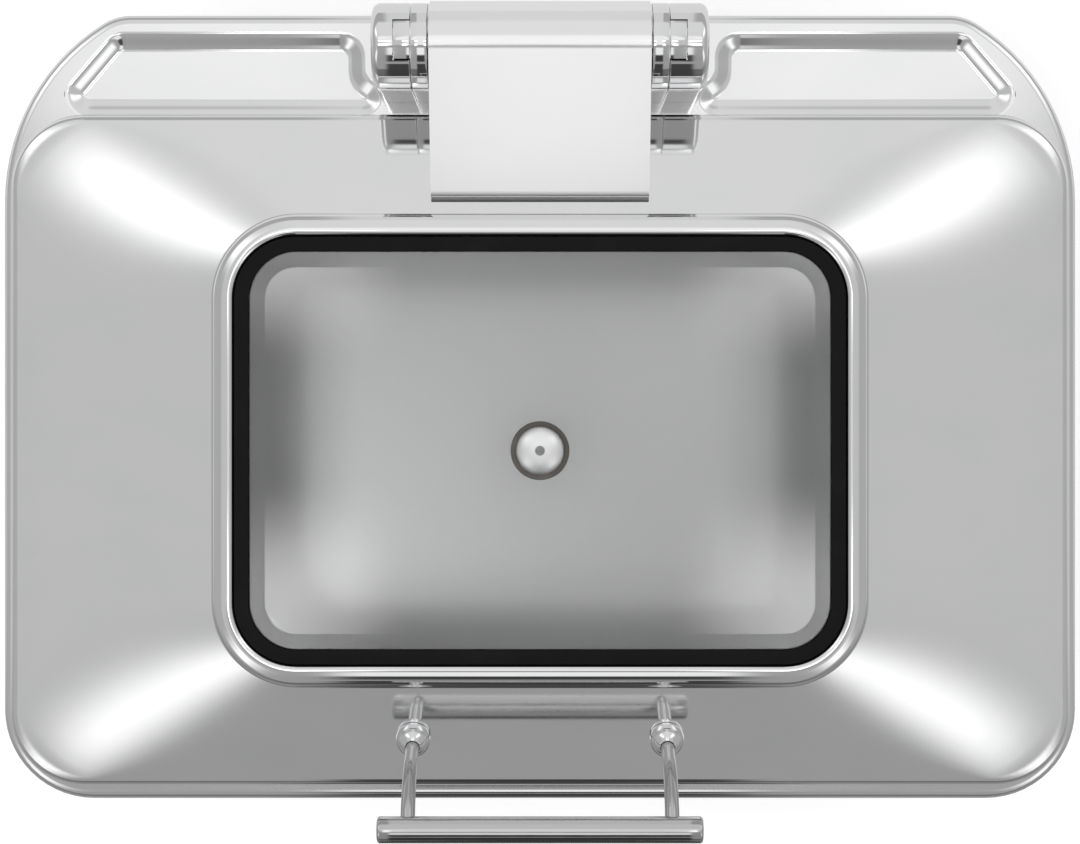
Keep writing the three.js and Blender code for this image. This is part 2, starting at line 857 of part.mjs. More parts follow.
// The upright outline of the hinge feet: round over the axis, straight down to the rim.
function footOutline(inset) {
  const bottom = rimHeight + fitGap;
  const radius = housingRadius - inset;
  return [
    new THREE.Vector2(hingeY + radius, bottom),
    ...hingeArc(radius, 0, 180),
    new THREE.Vector2(hingeY - radius, bottom),
  ];
}

// A key round the top of the foot, between two radii.
function keyOutline(innerRadius, outerRadius, halfAngle) {
  const from = 90 - halfAngle;
  const to = 90 + halfAngle;
  return [
    ...hingeArc(outerRadius, from, to, cornerSteps),
    ...hingeArc(innerRadius, from, to, cornerSteps).reverse(),
  ];
}

function hingeCollar() {
  const end = collarX + collarWidth;
  const tongue = keyOutline(housingRadius - tongueDepth, housingRadius, tongueHalfAngle);
  const foot = acrossPlate(footOutline(0), collarX, end);
  return cut(
    join(foot, acrossPlate(tongue, collarX, housingX + tongueLength)),
    axisRod(shaftBore, collarX - overrun, end + overrun),
  );
}

function hingeHousing() {
  const roundX = housingEnd - housingEndRound;
  const end = Array.from({ length: bendSteps + 1 }, (_, i) => {
    const a = (Math.PI * i) / bendSteps / 2;
    return {
      outline: footOutline(housingEndRound * (1 - Math.cos(a))),
      z: roundX + housingEndRound * Math.sin(a),
    };
  });
  const block = across(loft([{ outline: footOutline(0), z: housingX }, ...end]));
  const notchRadius = housingRadius - tongueDepth - fitGap;
  const notchAngle = tongueHalfAngle + degrees((2 * fitGap) / notchRadius);
  const notch = keyOutline(notchRadius, housingRadius + overrun, notchAngle);
  return cut(
    block,
    axisRod(shaftBore, housingX - overrun, shaftEnd + fitGap),
    acrossPlate(notch, housingX - overrun, housingX + tongueLength + fitGap),
    ...baseScrewPlaces()
      .filter(([x]) => x > 0)
      .map(([x, y]) => shifted(baseScrewHole(), x, y, 0)),
  );
}

function baseScrewPlaces() {
  const x = housingX + housingWidth / 2;
  return [-1, 1].flatMap((side) =>
    [-1, 1].map((end) => [side * x, hingeY + (end * baseScrewSpacing) / 2]),
  );
}

// A screw about Z that stands up from the underside of the plate that its head holds.
function screw(under, top) {
  return turned([
    [0, under - screwHeadHeight],
    [screwHeadRadius, under - screwHeadHeight],
    [screwHeadRadius, under],
    [screwRadius, under],
    [screwRadius, top],
    [0, top],
  ], smallSteps);
}

const backingBottom = backingTop - backingThickness;
const baseScrew = () => screw(backingBottom - fitGap, rimHeight + fitGap + screwGrip);
const baseScrewHole = () =>
  rod(
    screwRadius + screwPlay,
    backingBottom - overrun,
    rimHeight + fitGap + screwGrip + fitGap,
    smallSteps,
  );

function backingPlate() {
  const halfX = housingEnd - backingInset;
  const halfY = housingRadius - backingInset;
  const outline = roundedRect(halfX, halfY, backingRadius);
  const plate = loft([
    { outline, z: backingBottom },
    { outline, z: backingTop },
  ]);
  return cut(
    shifted(plate, 0, hingeY, 0),
    ...baseScrewPlaces().map(([x, y]) => shifted(baseScrewHole(), x, y, 0)),
  );
}

function hingeShaft() {
  const shoulder = shaftEnd - shaftChamfer;
  const tip = shaftRadius - shaftChamfer;
  const body = turned([
    [0, -shaftEnd],
    [tip, -shaftEnd],
    [shaftRadius, -shoulder],
    [shaftRadius, shoulder],
    [tip, shaftEnd],
    [0, shaftEnd],
  ]);
  return shifted(across(body), 0, hingeY, hingeZ);
}

// The torsion spring round the left half of the shaft, one unbroken wire that rests on the bush.
function hingeSpring() {
  const length = springTurns * springPitch;
  const start = bushLength - barrelHalf + springWire / 2 + fitGap;
  const points = Array.from({ length: springTurns * springSteps + 1 }, (_, i) => {
    const a = (2 * Math.PI * i) / springSteps;
    return new THREE.Vector3(
      start + (length * i) / (springTurns * springSteps),
      hingeY + springRadius * Math.cos(a),
      hingeZ + springRadius * Math.sin(a),
    );
  });
  const gaps = points.flatMap((p, i) =>
    points.slice(i + springSteps / 2).map((q) => p.distanceTo(q) - springWire),
  );
  console.log("least gap between spring turns", Math.min(...gaps).toFixed(2), "mm");
  return wire(points, springWire / 2, springSides);
}

// A wire of round section through points, capped at both ends.
function wire(points, radius, sides) {
  const axis = new THREE.Vector3(1, 0, 0);
  const rings = points.map((p, i) => {
    const ahead = points[Math.min(i + 1, points.length - 1)];
    const behind = points[Math.max(i - 1, 0)];
    const along = ahead.clone().sub(behind).normalize();
    const out = new THREE.Vector3().crossVectors(along, axis).normalize();
    const side = new THREE.Vector3().crossVectors(along, out);
    return Array.from({ length: sides }, (_, k) => {
      const a = (2 * Math.PI * k) / sides;
      return p
        .clone()
        .addScaledVector(out, radius * Math.cos(a))
        .addScaledVector(side, radius * Math.sin(a));
    });
  });
  const index = [];
  for (let r = 0; r + 1 < rings.length; r++)
    for (let k = 0; k < sides; k++) {
      const a = r * sides + k;
      const b = r * sides + ((k + 1) % sides);
      index.push(a, b, b + sides, a, b + sides, a + sides);
    }
  const last = (rings.length - 1) * sides;
  for (let k = 1; k + 1 < sides; k++) index.push(0, k + 1, k, last, last + k, last + k + 1);
  const geometry = new THREE.BufferGeometry().setFromPoints(rings.flat());
  geometry.setIndex(index);
  return solid(geometry);
}

// The damper cartridge round the right half of the shaft.
function hingeDamper() {
  const neckX = damperStart + damperNeckLength;
  const body = turned([
    [shaftBore, damperStart],
    [damperNeck, damperStart],
    [damperNeck, neckX],
    [damperRadius, neckX],
    [damperRadius, damperStart + damperLength],
    [shaftBore, damperStart + damperLength],
    [shaftBore, damperStart],
  ]);
  return shifted(across(body), 0, hingeY, hingeZ);
}

// The right-hand bush, pressed into the end of the barrel.
function hingeBush() {
  const body = tube(shaftBore, barrelBore - fitGap, barrelHalf - bushLength, barrelHalf);
  return shifted(across(body), 0, hingeY, hingeZ);
}

// Angle of the place where the cover leaves its round for its straight front.
const coverFrontY = bezelY + coverFrontMargin;
const coverFront = new THREE.Vector2(coverFrontY, slopeZ(coverFrontY) + coverFrontRise);
const coverReach = coverFront.clone().sub(new THREE.Vector2(hingeY, hingeZ));
const coverTangent =
  360 + degrees(coverReach.angle() - 2 * Math.PI - Math.acos(coverRadius / coverReach.length()));
const coverWay = coverFront.clone().sub(hingePoint(coverRadius, coverTangent)).normalize();

// The place under the cover's straight front at a distance below its outer face.
function underCover(depth, y) {
  const start = hingePoint(coverRadius - depth, coverTangent);
  return start.clone().addScaledVector(coverWay, (y - start.x) / coverWay.x);
}

// The bent cover plate with its two cheeks, which follow the back slope of the lid.
function hingeCover() {
  const lip = slopeZ(coverFrontY) + fitGap;
  const innerY = coverFrontY + coverSheet;
  const strip = [
    ...hingeArc(coverRadius, coverBackAngle, coverTangent),
    coverFront,
    new THREE.Vector2(coverFrontY, lip),
    new THREE.Vector2(innerY, lip),
    underCover(coverSheet, innerY),
    ...hingeArc(coverRadius - coverSheet, coverBackAngle, coverTangent).reverse(),
  ];
  const backY = footY + footRun / 2;
  const cheek = [
    ...hingeArc(coverRadius, cheekDropAngle, coverTangent),
    coverFront,
    new THREE.Vector2(coverFrontY, lip),
    new THREE.Vector2(backY, slopeZ(backY) + fitGap),
  ];
  const inner = coverHalfWidth - coverSheet;
  const hole = axisRod(shaftBore, -coverHalfWidth - overrun, coverHalfWidth + overrun);
  return cut(
    join(
      acrossPlate(strip, -coverHalfWidth, coverHalfWidth),
      acrossPlate(cheek, -coverHalfWidth, -inner),
      acrossPlate(cheek, inner, coverHalfWidth),
    ),
    hole,
  );
}

// The casting that carries the lid on the shaft: a bored barrel, ribs and a foot on the back slope.
function hingeKnuckle() {
  const barrel = axisRod(barrelRadius, -barrelHalf, barrelHalf);
  const frontY = footY - footRun / 2;
  const backY = footY + footRun / 2;
  const onSlope = (y, height) =>
    new THREE.Vector2(
      y + height * Math.sin(endSlope),
      slopeZ(y) + height * Math.cos(endSlope),
    );
  const foot = [
    onSlope(frontY, fitGap),
    onSlope(backY, fitGap),
    onSlope(backY, fitGap + footThickness),
    onSlope(frontY, fitGap + footThickness),
  ];
  const wallMiddle = (barrelBore + barrelRadius) / 2;
  const depth = coverRadius - barrelRadius;
  const rib = [
    onSlope(frontY, fitGap),
    onSlope(backY, fitGap),
    hingePoint(wallMiddle, ribDropAngle),
    hingePoint(barrelRadius, coverTangent),
    underCover(depth, frontY + footThickness),
  ];
  const ribSpan = footHalf * 2 - ribThickness;
  const ribs = Array.from({ length: ribCount }, (_, i) => {
    const left = (ribSpan * i) / (ribCount - 1) - footHalf;
    return acrossPlate(rib, left, left + ribThickness);
  });
  const hole = rod(screwRadius + screwPlay, -overrun, overrun, smallSteps);
  return cut(
    join(barrel, acrossPlate(foot, -footHalf, footHalf), ...ribs),
    axisRod(barrelBore, -barrelHalf - overrun, barrelHalf + overrun),
    ...lidScrewPlaces().map(([x, y]) => moved(shifted(hole, x, y, 0), slopeFrame(1, footY))),
  );
}

const lidScrewPlaces = () =>
  [-1, 1].flatMap((side) =>
    [-1, 1].map((end) => [(side * lidScrewSpacing) / 2, (end * lidScrewRow) / 2]),
  );

const innerPlateTop = -sheet - fitGap;
const innerPlateBottom = innerPlateTop - innerPlateThickness;

// The plate inside the lid that spreads the pull of the hinge screws.
function hingeInnerPlate() {
  const outline = roundedRect(footHalf, footRun / 2, footMargin / 2);
  const plate = loft([
    { outline, z: innerPlateBottom },
    { outline, z: innerPlateTop },
  ]);
  const hole = rod(screwRadius + screwPlay, innerPlateBottom - overrun, overrun, smallSteps);
  return cut(plate, ...lidScrewPlaces().map(([x, y]) => shifted(hole, x, y, 0)));
}

const lidScrew = () => screw(innerPlateBottom - fitGap, fitGap + footThickness);

// The small fastenings, each placed where it holds
const clampNut = () => nut(nutRadius, studRadius + fitGap, nutHeight, clampZ - fitGap);
const ventWasher = () =>
  tube(ventBore, ventWasherRadius, ventWasherZ, ventWasherZ + ventWasherThickness);
const ventNut = () => nut(ventNutRadius, ventBore, ventNutHeight, ventNutTop);
const handleWasher = () =>
  tube(handlePostBore, handleWasherRadius, washerTop - handleWasherThickness, washerTop);
const handleNut = () => nut(handleNutRadius, handlePostBore, handleNutHeight, handleNutTop);

// The scene: what stands on the table, the food pan in it, and what swings with the lid
const base = new THREE.Group();
const lid = new THREE.Group();
const frontSeat = new THREE.Group();
const backSeat = new THREE.Group();
frontSeat.position.set(0, -handleSeatY, slopeZ(handleSeatY));
frontSeat.rotation.x = endSlope;
backSeat.position.set(0, footY, slopeZ(footY));
backSeat.rotation.x = -endSlope;
lid.add(frontSeat, backSeat);

function put(group, name, body, material, x = 0, y = 0, z = 0) {
  const made = mesh(name, body, material);
  made.position.set(x, y, z);
  group.add(made);
}

put(base, "water_pan", waterPan(), polishedSteel);
put(base, "induction_plate", inductionPlate(), satinSteel);
for (const [name, side] of [["left", -1], ["right", 1]]) {
  const on = (body) => (side < 0 ? mirrored(body) : body);
  put(base, `hinge_housing_${name}`, on(hingeHousing()), polishedSteel);
  put(base, `hinge_collar_${name}`, on(hingeCollar()), polishedSteel);
  for (const [end, row] of [["front", -1], ["back", 1]]) {
    const x = side * (lidX - bumperCornerMargin);
    const y = row * (lidY - bumperWidth / 2);
    put(base, `lid_bumper_${end}_${name}`, bumper(), blackRubber, x, y);
  }
}
put(base, "hinge_backing_plate", backingPlate(), zincSteel);
baseScrewPlaces().forEach(([x, y], i) =>
  put(base, `hinge_base_screw_${i + 1}`, baseScrew(), zincSteel, x, y),
);
put(base, "hinge_shaft", hingeShaft(), satinSteel);
put(base, "hinge_spring", hingeSpring(), zincSteel);

put(lid, "lid_shell", lidShell(), polishedSteel);
put(lid, "window_bezel", windowBezel(), polishedSteel);
put(lid, "window_seal", windowSeal(), blackRubber);
put(lid, "window_glass", windowGlass(), clearGlass);
put(lid, "window_clamp_frame", windowClampFrame(), satinSteel);
studPlaces().forEach(([x, y], i) => put(lid, `clamp_nut_${i + 1}`, clampNut(), zincSteel, x, y));
put(lid, "vent_cap", ventCap(), polishedSteel);
put(lid, "vent_gasket", ventGasket(), greySilicone);
put(lid, "vent_washer", ventWasher(), greySilicone);
put(lid, "vent_nut", ventNut(), zincSteel);
put(lid, "hinge_cover", hingeCover(), satinSteel);
put(lid, "hinge_knuckle", hingeKnuckle(), satinSteel);
put(lid, "hinge_bush_left", mirrored(hingeBush()), darkPolymer);
put(lid, "hinge_bush_right", hingeBush(), darkPolymer);
put(lid, "hinge_damper", hingeDamper(), darkPolymer);
put(backSeat, "hinge_inner_plate", hingeInnerPlate(), zincSteel);
lidScrewPlaces().forEach(([x, y], i) =>
  put(backSeat, `hinge_lid_screw_${i + 1}`, lidScrew(), zincSteel, x, y),
);
put(frontSeat, "handle_bar", handleBar(), polishedSteel, 0, barPlace.y, barPlace.z);
handlePostPlaces.forEach((x) => {
  const name = x < 0 ? "left" : "right";
  put(frontSeat, `handle_post_${name}`, handlePost(), polishedSteel, x);
  put(frontSeat, `handle_ball_${name}`, handleBall(), polishedSteel, x);
  put(frontSeat, `handle_washer_${name}`, handleWasher(), blackRubber, x);
  put(frontSeat, `handle_nut_${name}`, handleNut(), zincSteel, x);
});

const dish = new THREE.Group();
dish.add(base, mesh("food_pan", foodPan(), satinSteel), lid);

export default dish;
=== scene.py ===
"""A polished steel chafing dish with a windowed lid, seen straight from above.

Sizes are in metres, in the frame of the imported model: X to the right, Y to the hinge at the back, Z up.
"""

import json
import math

import bmesh
import bpy
from mathutils import Matrix, Vector


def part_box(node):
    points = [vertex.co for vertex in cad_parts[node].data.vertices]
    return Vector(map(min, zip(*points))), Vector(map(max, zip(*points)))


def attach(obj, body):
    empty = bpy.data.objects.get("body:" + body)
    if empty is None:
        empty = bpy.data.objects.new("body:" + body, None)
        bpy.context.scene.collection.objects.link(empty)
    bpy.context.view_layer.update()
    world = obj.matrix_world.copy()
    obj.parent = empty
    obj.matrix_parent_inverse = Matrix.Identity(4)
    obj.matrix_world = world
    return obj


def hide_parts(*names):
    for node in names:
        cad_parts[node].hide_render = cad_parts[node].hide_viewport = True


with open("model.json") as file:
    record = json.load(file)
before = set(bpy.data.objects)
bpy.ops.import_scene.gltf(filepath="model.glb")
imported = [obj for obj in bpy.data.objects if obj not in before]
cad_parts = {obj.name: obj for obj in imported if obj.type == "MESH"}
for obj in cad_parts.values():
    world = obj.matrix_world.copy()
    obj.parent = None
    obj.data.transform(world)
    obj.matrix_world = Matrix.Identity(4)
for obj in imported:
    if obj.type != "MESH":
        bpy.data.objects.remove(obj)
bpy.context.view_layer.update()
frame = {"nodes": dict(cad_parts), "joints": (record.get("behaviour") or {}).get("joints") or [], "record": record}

# Smoothness of the meshes
CORNER_STEPS = 14
BEND_STEPS = 8
ROUND_STEPS = 64
MOULD_STEPS = 5
EDGE_STEPS = 4
FOOT_STEPS = 24
KEY_STEPS = 20
SIDE_SHARES = (0.002, 0.012, 0.06, 0.5, 0.94, 0.988, 0.998)
EASE_SHARES = (0.01, 0.06, 0.5, 0.94, 0.99)
WALL_SHARES = (0.02, 0.1, 0.5, 0.9, 0.98, 1.0)
LID_SHARES = (0.01, 0.04, 0.1, 0.18, 0.27, 0.36, 0.45, 0.55, 0.64, 0.73, 0.82, 0.9, 0.96, 0.99, 1.0)
LEG_SHARES = (0.03, 0.2, 0.8, 0.97)
BASE_SHARES = (0.03, 0.5, 0.97)
COVER_SHARES = (0.01, 0.1, 0.5, 0.9, 0.955)
INSIDE_SHARES = (0.01, 0.1, 0.5, 0.9, 0.95)
MOULD_SHARES = (0.5,)
SHARP_ANGLE = math.radians(32)
MERGE = 2e-6

# Sizes of the real pieces that the boxes of the nodes don't give
SHEET = 0.0012
EDGE = 0.0003
PAN_SHEET = 0.001
RIM_FRONT_RADIUS = 0.047
RIM_BACK_RADIUS = 0.110
RIM_BLEND_RADIUS = 0.028
RIM_BACK_SWEEP = 0.0975
RIM_BEND = 0.005
RIM_LIP = 0.012
RECESS_PLAY = 0.0015
RECESS_RADIUS = 0.0315
LEDGE_DROP = 0.0035
LEDGE_WIDTH = 0.0085
BASIN_RADIUS = 0.048
BASIN_TAPER = 0.013
BASIN_FILLET = 0.018
MOUTH_ROUND = 0.0015
PANEL_INNER = 0.0941
PANEL_OUTER = 0.245
PANEL_FRONT = 0.177
PANEL_BACK = 0.215
PANEL_CUT = (0.023, 0.027)
PANEL_RADIUS = 0.010
PANEL_SINK = 0.003
PANEL_FILLET = 0.0067
PANEL_MOUTH = 0.0033
PANEL_FLARE = (0.022, 0.017)
PANEL_FLARE_TIP = 0.0068
LID_RADIUS = 0.038
LID_SKIRT = 0.01295
LID_SHOULDER = 0.006
LID_SLOPE = math.radians(22.5)
LID_SIDE_RUN = 0.1075
LID_END_RUN = 0.0537
LID_BULGE = 0.032
BULGE_PEAK = math.sqrt(1 / 3) * 2 / 3
DECK_RADIUS = 0.043
SEAL_LEDGE = 0.0055
BEZEL_WIDTH = 0.0122
BEZEL_WALL = 0.0016
BEZEL_HOLLOW = 0.0024
BEZEL_CROWN = 0.0028
SEAL_RADIUS = 0.0308
SEAL_WIDTH = 0.0072
SEAL_LIP_ROUND = 0.0004
MOULD_ROUND = 0.0002
GLASS_BEVEL = 0.0115
GLASS_DROP = 0.0005
GLASS_CHAMFER = 0.0009
GLASS_BORE = 0.0062
VENT_HOLE = 0.00225
VENT_HOLE_EDGE = 0.0004
VENT_STEM = 0.0045
VENT_SKIRT = 0.0014
GASKET_BORE = 0.0048
GASKET_SLEEVE = 0.0059
GASKET_FLANGE = 0.002
FLANGE_WIDTH = 0.011
FLANGE_RADIUS = 0.030
PAN_MOUTH_RADIUS = 0.042
PAN_TAPER = 0.014
PAN_FILLET = 0.016
PLATE_RADIUS = 0.034
PLATE_CHAMFER = 0.0015
HOUSING_RADIUS = 0.0214
HOUSING_ROUND = 0.004
HINGE_EDGE = 0.0004
COVER_RADIUS = 0.0225
COVER_SHEET = 0.0015
COVER_NOSE = 0.0008
COVER_RISE = 0.0033
COVER_BEVEL = 0.00045
COVER_END = -10
CHEEK_END = -150
CHEEK_REACH = 0.0378
TONGUE_ANGLE = 26
TONGUE_DEPTH = 0.005
POST_RADIUS = 0.0035
POST_RISE = 0.0215
POST_END = 0.009
POST_STOP = 0.0015
POST_BEND = 0.0449
POST_TURN = math.radians(40)
BALL_RADIUS = 0.009
BALL_FLAT = 0.001
NUT_DEPTH = 0.0096
BAR_ROUND = 0.0016
BAR_STRAIGHT = 0.9
GAP = 0.0003

# The camera above the rim, in metres, with its lens and sensor in millimetres
CAMERA_Y = 0.0143
CAMERA_HEIGHT = 1.08
CAMERA_REACH = 20.0
LENS = 68.9
SENSOR = 36.0

# The table: its size, its glow to the eye, and its glow in mirrors near the dish and beyond it
FLOOR_HALF = 6.0
FLOOR_LIFT = 0.42
FLOOR_MIRRORED = 0.58
FLOOR_BACK_GAIN = 0.17
FLOOR_FRONT_LOSS = 0.2
FLOOR_FAR_LOSS = 0.12
FLOOR_MIDDLE_LOSS = 0.22

# The studio in mirrors: its levels of light, by where a direction points
SOFT_LIGHT = 0.62
MIDDLE_SPAN = (0.085, 0.11)
BACK_LEVEL = 0.785
BACK_LOSS = 0.355
FRONT_LEVEL = 0.15
FRONT_GAIN = 0.21
MIDDLE_LEVEL = 0.05
MIDDLE_SLOPE_GAIN = 0.31
MIDDLE_TOP_GAIN = 0.92
SIDE_LEVEL = 0.46
SIDE_GAIN = 0.13
DIAGONAL_LEVEL = 0.8
DIAGONAL_FOCUS = 5.5
TOP_LEVEL = 0.61
TOP_GAIN = 0.36
TOP_LIMIT = 0.97
STRIP_GAIN = 0.42
STRIP_LIMIT = 0.06
TOP_FRONT_LOSS = 0.22
BAND_LOSS = 0.6
CORNER_GLOW = 2.6

hinge = frame["joints"][0]["pos_m"]
HINGE_Y, HINGE_Z = hinge[1], hinge[2]
rim_low, rim_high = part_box("water_pan")
lid_low, lid_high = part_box("lid_shell")
RIM_Z = rim_high.z
DECK_Z = lid_high.z
WINDOW_X = lid_high.x - LID_SIDE_RUN - BEZEL_WIDTH
WINDOW_Y = lid_high.y - LID_END_RUN - BEZEL_WIDTH


def arc(centre_x, centre_y, radius, start, end, steps=CORNER_STEPS):
    """Points of an arc, angles in degrees."""
    points = []
    for i in range(steps + 1):
        a = math.radians(start + (end - start) * i / steps)
        points.append((centre_x + radius * math.cos(a), centre_y + radius * math.sin(a)))
    return points


def joined(arcs, shares=SIDE_SHARES):
    """A closed outline of arcs and the straight sides between them, with points near each corner."""
    outline = []
    for here, after in zip(arcs, arcs[1:] + arcs[:1]):
        (x0, y0), (x1, y1) = here[-1], after[0]
        outline += here
        outline += [(x0 + (x1 - x0) * s, y0 + (y1 - y0) * s) for s in shares]
    return outline


def rounded_rect(half_x, half_y, radius, steps=CORNER_STEPS):
    """The outline of a rectangle with round corners, about the origin."""
    x, y = half_x - radius, half_y - radius
    return joined([
        arc(x, -y, radius, -90, 0, steps),
        arc(x, y, radius, 0, 90, steps),
        arc(-x, y, radius, 90, 180, steps),
        arc(-x, -y, radius, 180, 270, steps),
    ])


def rim_outline(inset):
    """The rim seen from above, with its wide back corners."""
    half, front, back = rim_high.x, rim_low.y, rim_high.y
    corner_x, corner_y = half - RIM_BACK_RADIUS, back - RIM_BACK_SWEEP
    reach = RIM_BACK_RADIUS - RIM_BLEND_RADIUS
    blend_y = back - RIM_BLEND_RADIUS
    turn = math.asin((blend_y - corner_y) / reach)
    blend_x = corner_x + reach * math.cos(turn)
    angle = math.degrees(turn)
    front_x, front_y = half - RIM_FRONT_RADIUS, front + RIM_FRONT_RADIUS
    right = [
        arc(front_x, front_y, RIM_FRONT_RADIUS - inset, -90, 0),
        arc(corner_x, corner_y, RIM_BACK_RADIUS - inset, 0, angle)[:-1]
        + arc(blend_x, blend_y, RIM_BLEND_RADIUS - inset, angle, 90),
    ]
    left = [[(-x, y) for x, y in reversed(points)] for points in reversed(right)]
    return joined(right + left)


def corner_arc(before, corner, after, radius, inset=0.0, steps=BEND_STEPS):
    """Points of a corner's round, moved in by an inset from an anticlockwise outline of straight sides.

    The centre of the round stays in place as the inset grows, whether the corner points out or in.
    """
    corner = Vector(corner)
    arriving, leaving = (corner - Vector(before)).normalized(), (Vector(after) - corner).normalized()
    turn = math.atan2(arriving.x * leaving.y - arriving.y * leaving.x, arriving.dot(leaving))
    way = math.copysign(1, turn)
    inward, next_inward = Vector((-arriving.y, arriving.x)), Vector((-leaving.y, leaving.x))
    centre = corner + (inward + next_inward) * (way * radius / (1 + inward.dot(next_inward)))
    start = math.degrees(math.atan2(-way * inward.y, -way * inward.x))
    return arc(centre.x, centre.y, radius - way * inset, start, start + math.degrees(turn), steps)


def rounded_polygon(corners, inset=0.0, steps=BEND_STEPS, shares=EASE_SHARES):
    """A closed outline of straight sides from corners of x, y and radius."""
    arcs = []
    for i, (x, y, radius) in enumerate(corners):
        before, after = corners[i - 1], corners[(i + 1) % len(corners)]
        arcs.append(corner_arc(before[:2], (x, y), after[:2], radius, inset, steps))
    return joined(arcs, shares)


def flat_ring(outline, z):
    return [(x, y, z) for x, y in outline]


def skin(rings, closed=False, bottom=True, top=True):
    """Vertices and faces of the surface through rings of equal count, capped where it is open."""
    count = len(rings[0])
    verts = [p for ring in rings for p in ring]
    total = len(verts)
    faces = []
    for r in range(len(rings) if closed else len(rings) - 1):
        for i in range(count):
            a, b = r * count + i, r * count + (i + 1) % count
            faces.append((a, b, (b + count) % total, (a + count) % total))
    if not closed and bottom:
        faces.append(tuple(reversed(range(count))))
    if not closed and top:
        faces.append(tuple(range(total - count, total)))
    return verts, faces


def quarter(steps=BEND_STEPS):
    """Angles from 0 to a right angle, in radians."""
    return [math.pi / 2 * i / steps for i in range(steps + 1)]


def build(name, parts, fills=()):
    """One mesh from skins and flat fills between loops, with merged points and faces turned out.

    Caps and fills are shaded flat, and everything else smooth up to the sharp angle.
    """
    bm = bmesh.new()
    for verts, faces in parts:
        made = [bm.verts.new(v) for v in verts]
        for face in faces:
            bm.faces.new([made[i] for i in face]).smooth = len(face) == 4
    for loops in fills:
        edges = []
        for loop in loops:
            made = [bm.verts.new(v) for v in loop]
            edges += [bm.edges.new(pair) for pair in zip(made, made[1:] + made[:1])]
        bmesh.ops.triangle_fill(bm, edges=edges, use_beauty=True)
    bmesh.ops.remove_doubles(bm, verts=bm.verts, dist=MERGE)
    bmesh.ops.dissolve_degenerate(bm, edges=bm.edges, dist=MERGE)
    bmesh.ops.recalc_face_normals(bm, faces=bm.faces)
    if bm.calc_volume(signed=True) < 0:
        bmesh.ops.reverse_faces(bm, faces=bm.faces)
    for edge in bm.edges:
        edge.smooth = len(edge.link_faces) == 2 and edge.calc_face_angle(0) < SHARP_ANGLE
    mesh = bpy.data.meshes.new(name)
    bm.to_mesh(mesh)
    bm.free()
    piece = bpy.data.objects.new(name, mesh)
    bpy.context.scene.collection.objects.link(piece)
    return piece


def dress(piece, material, body, slot, *nodes):
    """Gives a finished piece its material and its body, and hides the nodes it stands for. The slot is not used.
    """
    piece.data.materials.clear()
    piece.data.materials.append(material)
    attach(piece, body)
    if nodes:
        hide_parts(*nodes)


def lathe(profile, steps=ROUND_STEPS):
    """Rings about Z through a profile of radius and height."""
    rings = []
    for radius, z in profile:
        rings.append([
            (radius * math.cos(2 * math.pi * i / steps), radius * math.sin(2 * math.pi * i / steps), z)
            for i in range(steps)
        ])
    return rings


def place(skinned, matrix):
    """A skin moved and turned by a matrix."""
    verts, faces = skinned
    return [tuple(matrix @ Vector(v)) for v in verts], faces


# Turns a piece drawn about Z so that it lies along X at the hinge.
ALONG_X = Matrix(((0, 0, 1, 0), (1, 0, 0, 0), (0, 1, 0, 0), (0, 0, 0, 1)))


class Value:
    """A shader socket on which arithmetic adds Math nodes."""

    def __init__(self, shader, socket):
        self.shader, self.socket = shader, socket

    def math(self, operation, *others):
        return self.shader.math(operation, self, *others)

    def __add__(self, other):
        return self.math("ADD", other)

    def __sub__(self, other):
        return self.math("SUBTRACT", other)

    def __rsub__(self, other):
        return self.shader.math("SUBTRACT", other, self)

    def __mul__(self, other):
        return self.math("MULTIPLY", other)

    def __truediv__(self, other):
        return self.math("DIVIDE", other)

    def __pow__(self, other):
        return self.math("POWER", other)

    def __rtruediv__(self, other):
        return self.shader.math("DIVIDE", other, self)

    def __rpow__(self, other):
        return self.shader.math("POWER", other, self)

    def __neg__(self):
        return self.math("MULTIPLY", -1.0)

    __radd__, __rmul__ = __add__, __mul__


